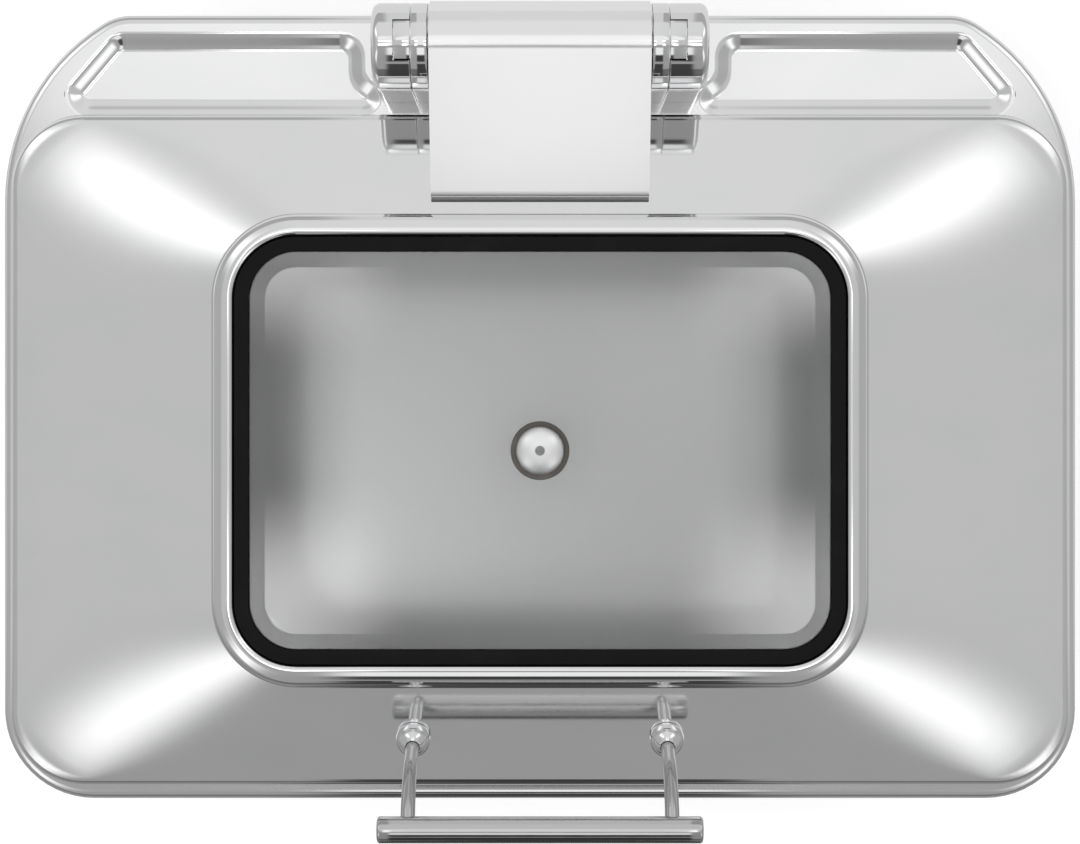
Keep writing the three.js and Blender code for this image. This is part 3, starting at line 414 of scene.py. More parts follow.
class Shader:
    """The nodes of one material or world."""

    def __init__(self, owner):
        owner.use_nodes = True
        self.tree = owner.node_tree
        self.tree.nodes.clear()

    def node(self, kind, settings=None, inputs=None, output=0):
        """Adds a node: its settings first, then the values or links of its sockets."""
        made = self.tree.nodes.new(kind)
        for name, setting in (settings or {}).items():
            setattr(made, name, setting)
        for name, given in (inputs or {}).items():
            socket = made.inputs[name]
            if isinstance(given, Value):
                self.tree.links.new(given.socket, socket)
            else:
                socket.default_value = given
        return Value(self, made.outputs[output]) if len(made.outputs) else made

    def math(self, operation, *values):
        return self.node("ShaderNodeMath", {"operation": operation}, dict(enumerate(values)))

    def place(self, scale=(1, 1, 1)):
        """Object coordinates, stretched."""
        spot = self.node("ShaderNodeTexCoord", output="Object")
        return self.node("ShaderNodeMapping", None, {"Vector": spot, "Scale": scale})

    def noise(self, size, stretch=(1, 1, 1), detail=4.0, rough=0.5):
        """Noise whose grains are about that size in metres."""
        spot = self.place(tuple(s / size for s in stretch))
        return self.node(
            "ShaderNodeTexNoise", None,
            {"Vector": spot, "Scale": 1.0, "Detail": detail, "Roughness": rough},
        )

    def parts(self, kind):
        """X, Y and Z of a kind of texture coordinate."""
        spot = self.node("ShaderNodeTexCoord", output=kind)
        split = self.node("ShaderNodeSeparateXYZ", None, {"Vector": spot}).socket.node.outputs
        return [Value(self, split[axis]) for axis in "XYZ"]

    def rays(self):
        """Whether a ray is the eye's, a mirrored one, or one that came through glass."""
        path = self.node("ShaderNodeLightPath").socket.node.outputs
        kinds = ("Is Camera Ray", "Is Glossy Ray", "Is Transmission Ray")
        return [Value(self, path[kind]) for kind in kinds]

    def mix(self, factor, low, high):
        return self.node(
            "ShaderNodeMix", {"data_type": "RGBA"}, {0: factor, 6: low, 7: high}, output=2
        )

    def ramp(self, factor, stops):
        """Rises softly from 0 to 1 between two values."""
        low, high = stops
        return self.node("ShaderNodeMapRange", {"interpolation_type": "SMOOTHSTEP"}, {
            "Value": factor, "From Min": low, "From Max": high,
        })

    def fade(self, factor, stops):
        """Falls softly from 1 to 0 between two values."""
        return 1.0 - self.ramp(factor, stops)

    def bump(self, height, strength, distance):
        return self.node("ShaderNodeBump", None, {
            "Height": height, "Strength": strength, "Distance": distance,
        })

    def surface(self, **inputs):
        """The surface shader, from its inputs by name with _ for a space."""
        named = {name.replace("_", " "): given for name, given in inputs.items()}
        shade = self.node("ShaderNodeBsdfPrincipled", None, named)
        self.node("ShaderNodeOutputMaterial", None, {"Surface": shade})


def material(name):
    made = bpy.data.materials.new(name)
    return made, Shader(made)


def polished_steel(name, roughness=0.07, tone=0.84):
    """Mirror-polished stainless with a few soft smears and a hint of waviness."""
    made, s = material(name)
    smear = s.noise(0.045, stretch=(1, 1.6, 1), detail=3.0)
    fine = s.noise(0.0011, detail=2.0)
    shade = s.mix(
        s.ramp(smear, (0.35, 0.75)),
        (tone, tone, tone * 1.005, 1),
        (tone * 0.975, tone * 0.98, tone * 0.985, 1),
    )
    s.surface(
        Base_Color=shade,
        Metallic=1.0,
        Roughness=roughness + smear * 0.03 + fine * 0.015,
        Normal=s.bump(fine, strength=0.02, distance=0.00004),
    )
    return made


def brushed_steel(name, roughness, tone, grain=(1, 60, 60), depth=0.08):
    """Satin stainless with its grain along one way."""
    made, s = material(name)
    line = s.noise(0.02, stretch=grain, detail=6.0, rough=0.65)
    patch = s.noise(0.06, detail=2.0)
    shade = s.mix(line, (tone * 0.94, tone * 0.94, tone * 0.945, 1), (tone, tone, tone, 1))
    s.surface(
        Base_Color=shade,
        Metallic=1.0,
        Roughness=roughness * (0.8 + line * 0.3 + patch * 0.1),
        Normal=s.bump(line, strength=depth, distance=0.00008),
    )
    return made


def zinc_steel():
    """Plated fasteners with a slightly mottled, dull shine."""
    made, s = material("zinc_plate")
    patch = s.noise(0.004, detail=5.0, rough=0.6)
    shade = s.mix(s.ramp(patch, (0.3, 0.7)), (0.56, 0.57, 0.56, 1), (0.7, 0.71, 0.7, 1))
    s.surface(
        Base_Color=shade,
        Metallic=1.0,
        Roughness=0.32 + patch * 0.15,
        Normal=s.bump(patch, strength=0.1, distance=0.00005),
    )
    return made


def rubber(name, tone, gloss):
    """Moulded rubber: fine grain and a little dust."""
    made, s = material(name)
    grain = s.noise(0.0007, detail=3.0, rough=0.6)
    dust = s.noise(0.03, detail=4.0, rough=0.6)
    dark = tuple(0.8 * channel for channel in tone)
    light = tuple(1.5 * channel for channel in tone)
    s.surface(
        Base_Color=s.mix(s.ramp(dust, (0.45, 0.8)), (*dark, 1), (*light, 1)),
        Roughness=0.42 + grain * 0.18,
        Specular_IOR_Level=gloss,
        Normal=s.bump(grain, strength=0.25, distance=0.00005),
    )
    return made


def bearing_polymer():
    """The dark, slightly grained plastic of the bushes."""
    made, s = material("bearing_polymer")
    grain = s.noise(0.001, detail=3.0)
    s.surface(
        Base_Color=s.mix(grain, (0.05, 0.05, 0.052, 1), (0.075, 0.075, 0.078, 1)),
        Roughness=0.4 + grain * 0.15,
        Normal=s.bump(grain, strength=0.15, distance=0.00005),
    )
    return made


def clear_glass():
    """Tempered glass with a hard coat and the last wipe's faint smears."""
    made, s = material("clear_glass")
    smear = s.noise(0.05, stretch=(1, 2, 1), detail=3.0)
    s.surface(
        Base_Color=(0.985, 0.995, 0.99, 1),
        Roughness=s.ramp(smear, (0.55, 0.95)) * 0.02,
        IOR=1.5,
        Transmission_Weight=1.0,
        Coat_Weight=1.0,
    )
    return made


MIRROR = polished_steel("polished_steel")
MIRROR_LID = polished_steel("polished_lid", roughness=0.05)
MIRROR_TRIM = polished_steel("polished_trim", roughness=0.03)
MIRROR_CAP = polished_steel("polished_cap", roughness=0.36, tone=1.0)
MIRROR_BAR = brushed_steel("polished_bar", roughness=0.05, tone=0.62, grain=(1, 40, 40))
SATIN_POST = brushed_steel("satin_post", roughness=0.2, tone=0.58, grain=(40, 40, 1))
SATIN = brushed_steel("satin_cover", roughness=0.13, tone=0.95)
SATIN_PAN = brushed_steel("satin_pan", roughness=0.3, tone=0.4, grain=(1, 24, 24), depth=0.02)
SATIN_PLATE = brushed_steel("satin_plate", roughness=0.3, tone=0.74, grain=(30, 1, 30))
ZINC = zinc_steel()
RUBBER = rubber("black_rubber", tone=(0.004, 0.004, 0.004), gloss=0.15)
SILICONE = rubber("grey_silicone", tone=(0.11, 0.10, 0.092), gloss=0.3)
POLYMER = bearing_polymer()
GLASS = clear_glass()


def bowl(mouth_x, mouth_y, radius, taper, mouth_z, floor_z, fillet_size, grow):
    """Rings of a tapered bowl from its floor to its mouth."""
    size = fillet_size + grow
    rings = []
    for a in quarter():
        out = grow - taper - size * (1 - math.sin(a))
        outline = rounded_rect(mouth_x + out, mouth_y + out, radius + out + taper)
        rings.append(flat_ring(outline, floor_z + fillet_size - size * math.cos(a)))
    wall_z = floor_z + fillet_size
    for share in WALL_SHARES:
        out = grow - taper * (1 - share)
        outline = rounded_rect(mouth_x + out, mouth_y + out, radius + grow)
        rings.append(flat_ring(outline, wall_z + (mouth_z - wall_z) * share))
    return rings


def mouth_rings(half_x, half_y, radius, z):
    """Rings that turn a bowl's wall out to level at its mouth."""
    rings = []
    for a in quarter()[1:]:
        out = MOUTH_ROUND * (1 - math.cos(a))
        outline = rounded_rect(half_x + out, half_y + out, radius + out)
        rings.append(flat_ring(outline, z - MOUTH_ROUND + MOUTH_ROUND * math.sin(a)))
    return rings


def panel_outline(side, inset):
    """The sunk panel's outline on one side, cut at its outer corner and flared towards the hinge."""
    cut_x, cut_y = PANEL_CUT
    run, rise = PANEL_FLARE
    points = rounded_polygon([
        (PANEL_INNER - run, PANEL_FRONT, PANEL_FLARE_TIP),
        (PANEL_OUTER, PANEL_FRONT, PANEL_RADIUS),
        (PANEL_OUTER, PANEL_BACK - cut_y, PANEL_RADIUS),
        (PANEL_OUTER - cut_x, PANEL_BACK, PANEL_RADIUS),
        (PANEL_INNER, PANEL_BACK, PANEL_RADIUS),
        (PANEL_INNER, PANEL_FRONT + rise, PANEL_RADIUS),
    ], inset)
    return points if side > 0 else [(-x, y) for x, y in reversed(points)]


def panel_rings(side, grow):
    """The panel's soft wall, which bends down from its mouth and out again to its floor."""
    top, width = RIM_Z - grow, PANEL_MOUTH + PANEL_FILLET
    rings = [flat_ring(panel_outline(side, -PANEL_MOUTH - EDGE - grow), top)]
    for i in range(CORNER_STEPS + 1):
        share = i / CORNER_STEPS
        depth = PANEL_SINK * (1 - math.cos(math.pi * share)) / 2
        rings.append(flat_ring(panel_outline(side, width * share - PANEL_MOUTH - grow), top - depth))
    rings.append(flat_ring(panel_outline(side, PANEL_FILLET + EDGE - grow), top - PANEL_SINK))
    return rings


def make_water_pan():
    """The water pan: its basin, the ledge for the food pan, and the wide rim with two sunk panels."""
    pan_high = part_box("food_pan")[1]
    recess_x, recess_y = pan_high.x + RECESS_PLAY, pan_high.y + RECESS_PLAY
    basin_x, basin_y = recess_x - LEDGE_WIDTH, recess_y - LEDGE_WIDTH
    ledge_z = RIM_Z - LEDGE_DROP
    floor_z = rim_low.z + SHEET

    def recess(out, z):
        return flat_ring(rounded_rect(recess_x + out, recess_y + out, RECESS_RADIUS + out), z)

    def rim(inset, z):
        return flat_ring(rim_outline(inset), z)

    basin = dict(taper=BASIN_TAPER, floor_z=floor_z, fillet_size=BASIN_FILLET)
    inside = bowl(basin_x, basin_y, BASIN_RADIUS, mouth_z=ledge_z - MOUTH_ROUND, grow=0.0, **basin)
    inside += mouth_rings(basin_x, basin_y, BASIN_RADIUS, ledge_z)
    inside += [recess(-EDGE, ledge_z), recess(0, ledge_z + EDGE), recess(0, RIM_Z - MOUTH_ROUND)]
    inside += mouth_rings(recess_x, recess_y, RECESS_RADIUS, RIM_Z)
    deck_inner = recess(MOUTH_ROUND + EDGE, RIM_Z)
    inside.append(deck_inner)

    under_z = RIM_Z - SHEET
    outside = bowl(basin_x, basin_y, BASIN_RADIUS, mouth_z=ledge_z - SHEET, grow=SHEET, **basin)
    outside += [recess(SHEET - EDGE, ledge_z - SHEET), recess(SHEET, ledge_z - SHEET + EDGE)]
    outside.append(recess(SHEET, under_z))

    lip_z = RIM_Z - RIM_LIP
    bend_z = RIM_Z - RIM_BEND
    inner_bend = RIM_BEND - SHEET
    edge = [rim(SHEET + inner_bend, under_z)]
    edge += [
        rim(SHEET + inner_bend * (1 - math.sin(a)), bend_z + inner_bend * math.cos(a))
        for a in quarter()[1:]
    ]
    edge += [rim(SHEET, lip_z + EDGE), rim(SHEET - EDGE, lip_z), rim(EDGE, lip_z), rim(0, lip_z + EDGE)]
    edge += [
        rim(RIM_BEND * (1 - math.cos(a)), bend_z + RIM_BEND * math.sin(a)) for a in quarter()
    ]
    edge.append(rim(RIM_BEND + EDGE, RIM_Z))

    tops = [panel_rings(side, 0.0) for side in (1, -1)]
    unders = [panel_rings(side, SHEET) for side in (1, -1)]
    parts = [skin(inside, top=False), skin(outside, top=False), skin(edge, bottom=False, top=False)]
    parts += [skin(rings, bottom=False, top=False) for rings in tops + unders]
    fills = [[rings[-1]] for rings in tops + unders]
    fills += [
        [edge[-1], deck_inner] + [rings[0] for rings in tops],
        [edge[0], outside[-1]] + [rings[0] for rings in unders],
    ]
    pan = build("water_pan_sheet", parts, fills)
    dress(pan, MIRROR, "base", "polished_steel", "water_pan")


def make_food_pan():
    """The food pan with its flange, one sheet all through."""
    low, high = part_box("food_pan")
    body = dict(
        radius=PAN_MOUTH_RADIUS, taper=PAN_TAPER, floor_z=low.z + PAN_SHEET, fillet_size=PAN_FILLET
    )
    half_x, half_y = high.x - FLANGE_WIDTH, high.y - FLANGE_WIDTH
    top = high.z
    under = top - PAN_SHEET

    def flange(inset, z):
        return flat_ring(rounded_rect(high.x - inset, high.y - inset, FLANGE_RADIUS - inset), z)

    inside = bowl(half_x, half_y, mouth_z=top - MOUTH_ROUND, grow=0.0, **body)
    inside += mouth_rings(half_x, half_y, PAN_MOUTH_RADIUS, top)
    inside += [flange(EDGE, top), flange(0, top - EDGE), flange(0, under + EDGE), flange(EDGE, under)]
    outside = bowl(half_x, half_y, mouth_z=under, grow=PAN_SHEET, **body)
    pan = build("food_pan_sheet", [skin(inside + outside[::-1])])
    dress(pan, SATIN_PAN, "food_pan", "satin_steel", "food_pan")


def slope_z(y):
    """The height of the lid's front or back slope."""
    return DECK_Z - (abs(y) - (lid_high.y - LID_END_RUN)) * math.tan(LID_SLOPE)


def lid_rings(wall):
    """Rings of the lid from its edge to the deck, moved in by the wall's thickness."""
    skirt_z = lid_low.z + LID_SKIRT
    bends = BEND_STEPS + 2
    steps = []
    for i in range(bends + 1):
        tilt = (math.pi / 2 - LID_SLOPE) * i / bends
        inset, z = LID_SHOULDER * (1 - math.cos(tilt)), skirt_z + LID_SHOULDER * math.sin(tilt)
        steps.append((inset, z, tilt, 0.0))
    steps += [(inset, z + (DECK_Z - z) * share, tilt, share) for share in LID_SHARES]
    rings = []
    for inset, z, tilt, share in steps:
        move = wall * math.cos(tilt)
        start = LID_RADIUS - inset
        bulge = LID_BULGE * math.sqrt(share) * (1 - share) / BULGE_PEAK
        outline = rounded_rect(
            lid_high.x - inset - (LID_SIDE_RUN - inset) * share - move,
            lid_high.y - inset - (LID_END_RUN - inset) * share - move,
            start + (DECK_RADIUS - start) * share + bulge - move,
        )
        rings.append(flat_ring(outline, z - wall * math.sin(tilt)))
    return rings


def window_outline(offset, steps=CORNER_STEPS + 6):
    """The window's outline, grown by an offset from the seal's outer edge."""
    return rounded_rect(WINDOW_X + offset, WINDOW_Y + offset, SEAL_RADIUS + offset, steps)


def make_lid_shell():
    """The lid's sheet, from its rolled edge up the slopes to the ledge under the seal."""
    def edge(inset, z):
        return flat_ring(rounded_rect(lid_high.x - inset, lid_high.y - inset, LID_RADIUS - inset), z)

    def deck(offset, z):
        return flat_ring(window_outline(offset, CORNER_STEPS), z)

    bottom, under = lid_low.z, DECK_Z - SHEET
    outer = [edge(EDGE, bottom), edge(0, bottom + EDGE)] + lid_rings(0.0)
    outer += [deck(BEZEL_WIDTH - EDGE * 2, DECK_Z), deck(EDGE - SEAL_LEDGE, DECK_Z)]
    outer += [deck(-SEAL_LEDGE, DECK_Z - EDGE), deck(-SEAL_LEDGE, under + EDGE)]
    inner = [edge(SHEET - EDGE, bottom), edge(SHEET, bottom + EDGE)] + lid_rings(SHEET)
    inner += [deck(EDGE - SEAL_LEDGE, under)]
    shell = build("lid_sheet", [skin(outer + inner[::-1], closed=True)])
    dress(shell, MIRROR_LID, "lid", "polished_steel", "lid_shell")


def ring_piece(name, profile):
    """A closed moulding that follows the window, from a profile of offset and height."""
    rings = [flat_ring(window_outline(offset), z) for offset, z in profile]
    return build(name, [skin(rings, closed=True)])


def make_bezel():
    """The window frame: hollow below, falling away outside and softly rounded towards the seal."""
    base, top = DECK_Z + GAP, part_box("window_bezel")[1].z
    hollow, crown = base + BEZEL_HOLLOW, GAP + BEZEL_CROWN
    profile = [(GAP, base), (GAP + BEZEL_WALL, base), (GAP + BEZEL_WALL, hollow)]
    profile += [(BEZEL_WIDTH - BEZEL_WALL, hollow), (BEZEL_WIDTH - BEZEL_WALL, base)]
    profile += [(BEZEL_WIDTH - EDGE, base), (BEZEL_WIDTH, base + EDGE)]
    rise, span, inner = top - base - EDGE, BEZEL_WIDTH - crown, crown - GAP
    profile += [(crown + span * math.cos(a), base + EDGE + rise * math.sin(a)) for a in quarter(14)[1:]]
    profile += [(crown - inner * math.sin(a), top - inner * (1 - math.cos(a))) for a in quarter(10)[1:]]
    dress(ring_piece("window_frame", profile), MIRROR_TRIM, "lid", "polished_steel", "window_bezel")


def make_seal():
    """The rubber moulding that grips the pane's edge in its slot."""
    low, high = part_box("window_seal")
    glass_low, glass_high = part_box("window_glass")
    web = WINDOW_X - glass_high.x - GAP
    slot_low, slot_high = glass_low.z - GAP, glass_high.z + GAP
    profile = rounded_polygon([
        (-SEAL_WIDTH, low.z, MOULD_ROUND),
        (0, low.z, MOULD_ROUND),
        (0, high.z, SEAL_LIP_ROUND),
        (-SEAL_WIDTH, high.z - MOULD_ROUND, SEAL_LIP_ROUND),
        (-SEAL_WIDTH, slot_high, MOULD_ROUND),
        (-web, slot_high, MOULD_ROUND),
        (-web, slot_low, MOULD_ROUND),
        (-SEAL_WIDTH, slot_low, MOULD_ROUND),
    ], steps=MOULD_STEPS, shares=MOULD_SHARES)
    dress(ring_piece("window_rubber", profile), RUBBER, "lid", "black_rubber", "window_seal")


def make_glass():
    """The pane, with a wide shallow bevel inside the seal and a bored hole for the vent."""
    low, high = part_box("window_glass")
    edge = high.x - WINDOW_X
    brim = high.z - GLASS_DROP

    def rim(inset, z):
        return flat_ring(window_outline(edge - inset), z)

    def bore(z):
        return lathe([(GLASS_BORE, z)], 48)[0]

    outer = [
        rim(GLASS_CHAMFER, low.z), rim(0, low.z + GLASS_CHAMFER), rim(0, brim - GLASS_CHAMFER),
        rim(GLASS_CHAMFER, brim), rim(GLASS_CHAMFER + EDGE, brim),
        rim(GLASS_BEVEL, high.z), rim(GLASS_BEVEL + EDGE, high.z),
    ]
    parts = [skin(rings, bottom=False, top=False) for rings in (outer, [bore(high.z), bore(low.z)])]
    fills = [[outer[-1], bore(high.z)], [outer[0], bore(low.z)]]
    dress(build("window_pane", parts, fills), GLASS, "lid", "clear_glass", "window_glass")


def make_vent():
    """The vent: a bored steel dome over a silicone gasket."""
    low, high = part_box("vent_cap")
    gasket_low, gasket_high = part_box("vent_gasket")
    cap, bottom = high.x, gasket_high.z + GAP
    brim = bottom + VENT_SKIRT
    end = math.acos((VENT_HOLE + EDGE) / cap)
    profile = [(VENT_HOLE, low.z), (VENT_STEM, low.z), (VENT_STEM, bottom)]
    profile += [(cap - EDGE, bottom), (cap, bottom + EDGE), (cap, brim)]
    for i in range(1, 17):
        a = end * i / 16
        profile.append((cap * math.cos(a), brim + (high.z - brim) * math.sin(a)))
    profile += [(VENT_HOLE, high.z - VENT_HOLE_EDGE), (VENT_HOLE, high.z - VENT_HOLE_EDGE * 3)]
    dome = build("vent_dome", [skin(lathe(profile), closed=True)])
    dress(dome, MIRROR_CAP, "lid", "polished_steel", "vent_cap")

    rim, flange_z = gasket_high.x, gasket_high.z - GASKET_FLANGE
    profile = rounded_polygon([
        (GASKET_BORE, gasket_low.z, MOULD_ROUND),
        (GASKET_SLEEVE, gasket_low.z, MOULD_ROUND),
        (GASKET_SLEEVE, flange_z, MOULD_ROUND),
        (rim, flange_z, MOULD_ROUND * 2),
        (rim, gasket_high.z, MOULD_ROUND * 4),
        (GASKET_BORE, gasket_high.z, MOULD_ROUND),
    ], steps=MOULD_STEPS, shares=MOULD_SHARES)
    gasket = build("vent_rubber", [skin(lathe(profile), closed=True)])
    dress(gasket, SILICONE, "lid", "grey_silicone", "vent_gasket")


def hinge_arc(radius, start, end, steps):
    """An arc about the hinge's axis, as Y and Z."""
    return arc(HINGE_Y, HINGE_Z, radius, start, end, steps)


def across(outline, x):
    """An outline of Y and Z, set at a distance along the hinge."""
    return [(x, y, z) for y, z in outline]


def foot_outline(inset, key=None, spread=0.0):
    """The hinge foot's outline in Y and Z. A key gives the radius of the seat round its top."""
    half = TONGUE_ANGLE + spread
    radius = HOUSING_RADIUS - inset
    bottom = RIM_Z + GAP
    rise = HINGE_Z - bottom
    back = hinge_arc(radius, 0, 90 - half, FOOT_STEPS)
    crown = hinge_arc(radius if key is None else key, 90 - half, 90 + half, KEY_STEPS)
    front = hinge_arc(radius, 90 + half, 180, FOOT_STEPS)
    right = [(HINGE_Y + radius, bottom)] + [(HINGE_Y + radius, bottom + rise * s) for s in LEG_SHARES]
    left = [(HINGE_Y - radius, bottom + rise * (1 - s)) for s in LEG_SHARES] + [(HINGE_Y - radius, bottom)]
    base = [(HINGE_Y - radius + 2 * radius * s, bottom) for s in BASE_SHARES]
    return right + back + crown + front + left + base


def key_outline(inner, inset):
    """The tongue's outline with as many points as the foot's, the spare ones along its inner face."""
    full = foot_outline(inset)
    start = len(LEG_SHARES) + FOOT_STEPS + 2
    crown = full[start:start + KEY_STEPS + 1]
    path = hinge_arc(inner, 90 - TONGUE_ANGLE, 90 + TONGUE_ANGLE, len(full) - len(crown) - 1)
    return path[start - 1::-1] + crown + path[:start - 1:-1]


def make_hinge_feet(side, word):
    """One side's collar with its tongue, and the housing that the tongue is keyed into."""
    collar_low, collar_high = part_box("hinge_collar_right")
    housing_low, housing_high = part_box("hinge_housing_right")
    edge, turns = HINGE_EDGE, quarter(EDGE_STEPS)
    key = HOUSING_RADIUS - TONGUE_DEPTH
    split, tip = housing_low.x - GAP, collar_high.x
    collar = [
        across(foot_outline(edge * (1 - math.sin(a))), collar_low.x + edge * (1 - math.cos(a))) for a in turns
    ]
    collar += [
        across(foot_outline(edge * (1 - math.cos(a))), split - edge + edge * math.sin(a)) for a in turns
    ]
    collar += [across(key_outline(key, edge), split), across(key_outline(key, 0.0), split + edge)]
    collar += [
        across(key_outline(key, edge * (1 - math.cos(a))), tip - edge + edge * math.sin(a)) for a in turns
    ]

    seat, wall = key - GAP, tip + GAP
    spread = math.degrees(2 * GAP / seat)
    housing = [
        across(foot_outline(edge, seat, spread), housing_low.x),
        across(foot_outline(0.0, seat, spread), housing_low.x + edge),
        across(foot_outline(0.0, seat, spread), wall),
        across(foot_outline(0.0, None, spread), wall),
    ]
    for a in quarter(12):
        inset = HOUSING_ROUND * (1 - math.cos(a))
        x = housing_high.x - HOUSING_ROUND + HOUSING_ROUND * math.sin(a)
        housing.append(across(foot_outline(inset, None, spread), x))
    for name, rings, node in (
        ("hinge_ring_" + word, collar, "hinge_collar_" + word),
        ("hinge_foot_" + word, housing, "hinge_housing_" + word),
    ):
        if side < 0:
            rings = [[(-x, y, z) for x, y, z in reversed(ring)] for ring in rings]
        dress(build(name, [skin(rings)]), MIRROR_TRIM, "base", "polished_steel", node)


def make_cover():
    """The bent cover plate with its cheeks, softened along its edges."""
    low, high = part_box("hinge_cover")
    half, front_y = high.x, low.y
    front = Vector((front_y, slope_z(front_y) + COVER_RISE))
    lip = slope_z(front_y) + GAP
    reach = front - Vector((HINGE_Y, HINGE_Z))
    bearing = math.atan2(reach.y, reach.x) % (2 * math.pi)
    tangent = math.degrees(bearing - math.acos(COVER_RADIUS / reach.length))
    inner_radius, inner_y = COVER_RADIUS - COVER_SHEET, front_y + COVER_SHEET
    touch = Vector(hinge_arc(COVER_RADIUS, tangent, tangent, 1)[0])
    inner_touch = Vector(hinge_arc(inner_radius, tangent, tangent, 1)[0])
    way = (front - touch).normalized()
    inner_front = inner_touch + way * ((inner_y - inner_touch.x) / way.x)
    straight = [tuple(touch + (front - touch) * s) for s in COVER_SHARES]
    inner_straight = [tuple(inner_touch + (inner_front - inner_touch) * s) for s in INSIDE_SHARES]
    nose = corner_arc(touch, front, (front_y, lip), COVER_NOSE)
    strip = hinge_arc(COVER_RADIUS, COVER_END, tangent, 48) + straight + nose
    strip += [(front_y, lip), (inner_y, lip), tuple(inner_front)] + inner_straight[::-1]
    strip += hinge_arc(inner_radius, COVER_END, tangent, 48)[::-1]
    parts = [skin([across(strip, x) for x in (-half, HINGE_EDGE - half, half - HINGE_EDGE, half)])]

    back_y = HINGE_Y - CHEEK_REACH
    cheek = hinge_arc(COVER_RADIUS - EDGE, CHEEK_END, tangent, 60)
    cheek += [tuple(Vector(p) - Vector((0, EDGE))) for p in straight + nose[:2]]
    cheek += [(front_y + EDGE, lip), (back_y, slope_z(back_y) + GAP)]
    for xs in ((-half, COVER_SHEET - half), (half - COVER_SHEET, half)):
        parts.append(skin([across(cheek, x) for x in xs]))
    cover = build("hinge_cover_plate", parts)
    bevel = cover.modifiers.new("edge", "BEVEL")
    bevel.width = COVER_BEVEL
    bevel.segments = 3
    bevel.limit_method = "ANGLE"
    bevel.angle_limit = math.radians(50)
    bevel.harden_normals = False
    settle(cover)
    dress(cover, SATIN, "lid", "satin_steel", "hinge_cover")


def settle(piece):
    """Turns a piece's modifiers into plain mesh."""
    graph = bpy.context.evaluated_depsgraph_get()
    mesh = bpy.data.meshes.new_from_object(piece.evaluated_get(graph))
    piece.modifiers.clear()
    piece.data = mesh


def make_handle():
    """The two posts, bent forward over their ball seats, and the bar between them."""
    bar_low, bar_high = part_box("handle_bar")
    ball_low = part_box("handle_ball_right")[0]
    post_low, post_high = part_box("handle_post_right")
    ball_z = GAP + BALL_FLAT
    seat_y = ball_low.y + BALL_RADIUS + math.sin(LID_SLOPE) * ball_z
    turned = Matrix.Rotation(LID_SLOPE, 4, "X")
    seat = Matrix.Translation((0, seat_y, slope_z(seat_y))) @ turned
    elbow_z = ball_z + POST_RISE
    way = Vector((0, -math.sin(POST_TURN), math.cos(POST_TURN)))

    def elbow(a):
        return Vector((0, -POST_BEND * (1 - math.cos(a)), elbow_z + POST_BEND * math.sin(a)))

    bar_place = elbow(POST_TURN) + way * POST_END
    spine = [(Vector((0, 0, -NUT_DEPTH)), 0.0), (Vector((0, 0, elbow_z - EDGE)), 0.0)]
    spine += [(elbow(POST_TURN * i / 28), POST_TURN * i / 28) for i in range(29)]
    spine.append((elbow(POST_TURN) + way * EDGE, POST_TURN))
    spine.append((bar_place - way * (POST_STOP + GAP), POST_TURN))
    rings = []
    for centre, a in spine:
        turn = Matrix.Rotation(a, 3, "X")
        rings.append([tuple(centre + turn @ Vector(p)) for p in lathe([(POST_RADIUS, 0)], 40)[0]])

    bore = POST_RADIUS + GAP
    low, high = math.asin(-BALL_FLAT / BALL_RADIUS), math.acos(bore / BALL_RADIUS)
    ball = [(bore, GAP)]
    for i in range(41):
        a = low + (high - low) * i / 40
        ball.append((BALL_RADIUS * math.cos(a), ball_z + BALL_RADIUS * math.sin(a)))
    for side, word in ((-1, "left"), (1, "right")):
        at = Matrix.Translation((side * (post_low.x + post_high.x) / 2, 0, 0)) @ seat
        post = build("handle_arm_" + word, [place(skin(rings), at)])
        dress(post, SATIN_POST, "lid", "polished_steel", "handle_post_" + word)
        round_seat = build("handle_seat_" + word, [place(skin(lathe(ball), closed=True), at)])
        dress(round_seat, MIRROR_TRIM, "lid", "polished_steel", "handle_ball_" + word)

    half, radius = bar_high.x, (bar_high.z - bar_low.z) / 2
    end = [
        (radius - BAR_ROUND * (1 - math.cos(a)), half - BAR_ROUND * (1 - math.sin(a))) for a in quarter()
    ]
    profile = [(r, -z) for r, z in reversed(end)]
    profile += [(radius, -half * BAR_STRAIGHT), (radius, half * BAR_STRAIGHT)] + end
    at = Matrix.Translation(seat @ bar_place) @ ALONG_X
    bar = build("handle_grip", [place(skin(lathe(profile)), at)])
    dress(bar, MIRROR_BAR, "lid", "polished_steel", "handle_bar")


def make_plate():
    """The induction plate with its chamfered edge."""
    low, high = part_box("induction_plate")

    def ring(inset, z):
        return flat_ring(rounded_rect(high.x - inset, high.y - inset, PLATE_RADIUS - inset), z)

    rings = [ring(PLATE_CHAMFER, low.z), ring(0, low.z + PLATE_CHAMFER)]
    rings += [ring(0, high.z - EDGE), ring(EDGE, high.z)]
    dress(build("hob_plate", [skin(rings)]), SATIN_PLATE, "base", "satin_steel", "induction_plate")


def finish_nodes():
    """Materials for the pieces that keep their CAD shape."""
    finishes = {
        "satin_steel": SATIN_PLATE,
        "zinc_steel": ZINC,
        "black_rubber": RUBBER,
        "grey_silicone": SILICONE,
        "dark_polymer": POLYMER,
        "polished_steel": MIRROR,
        "clear_glass": GLASS,
    }
    slots = {part["node"]: part["material_slot"] for part in frame["record"]["subparts"]}
    for name, node in frame["nodes"].items():
        node.data.materials.clear()
        node.data.materials.append(finishes[slots[name]])


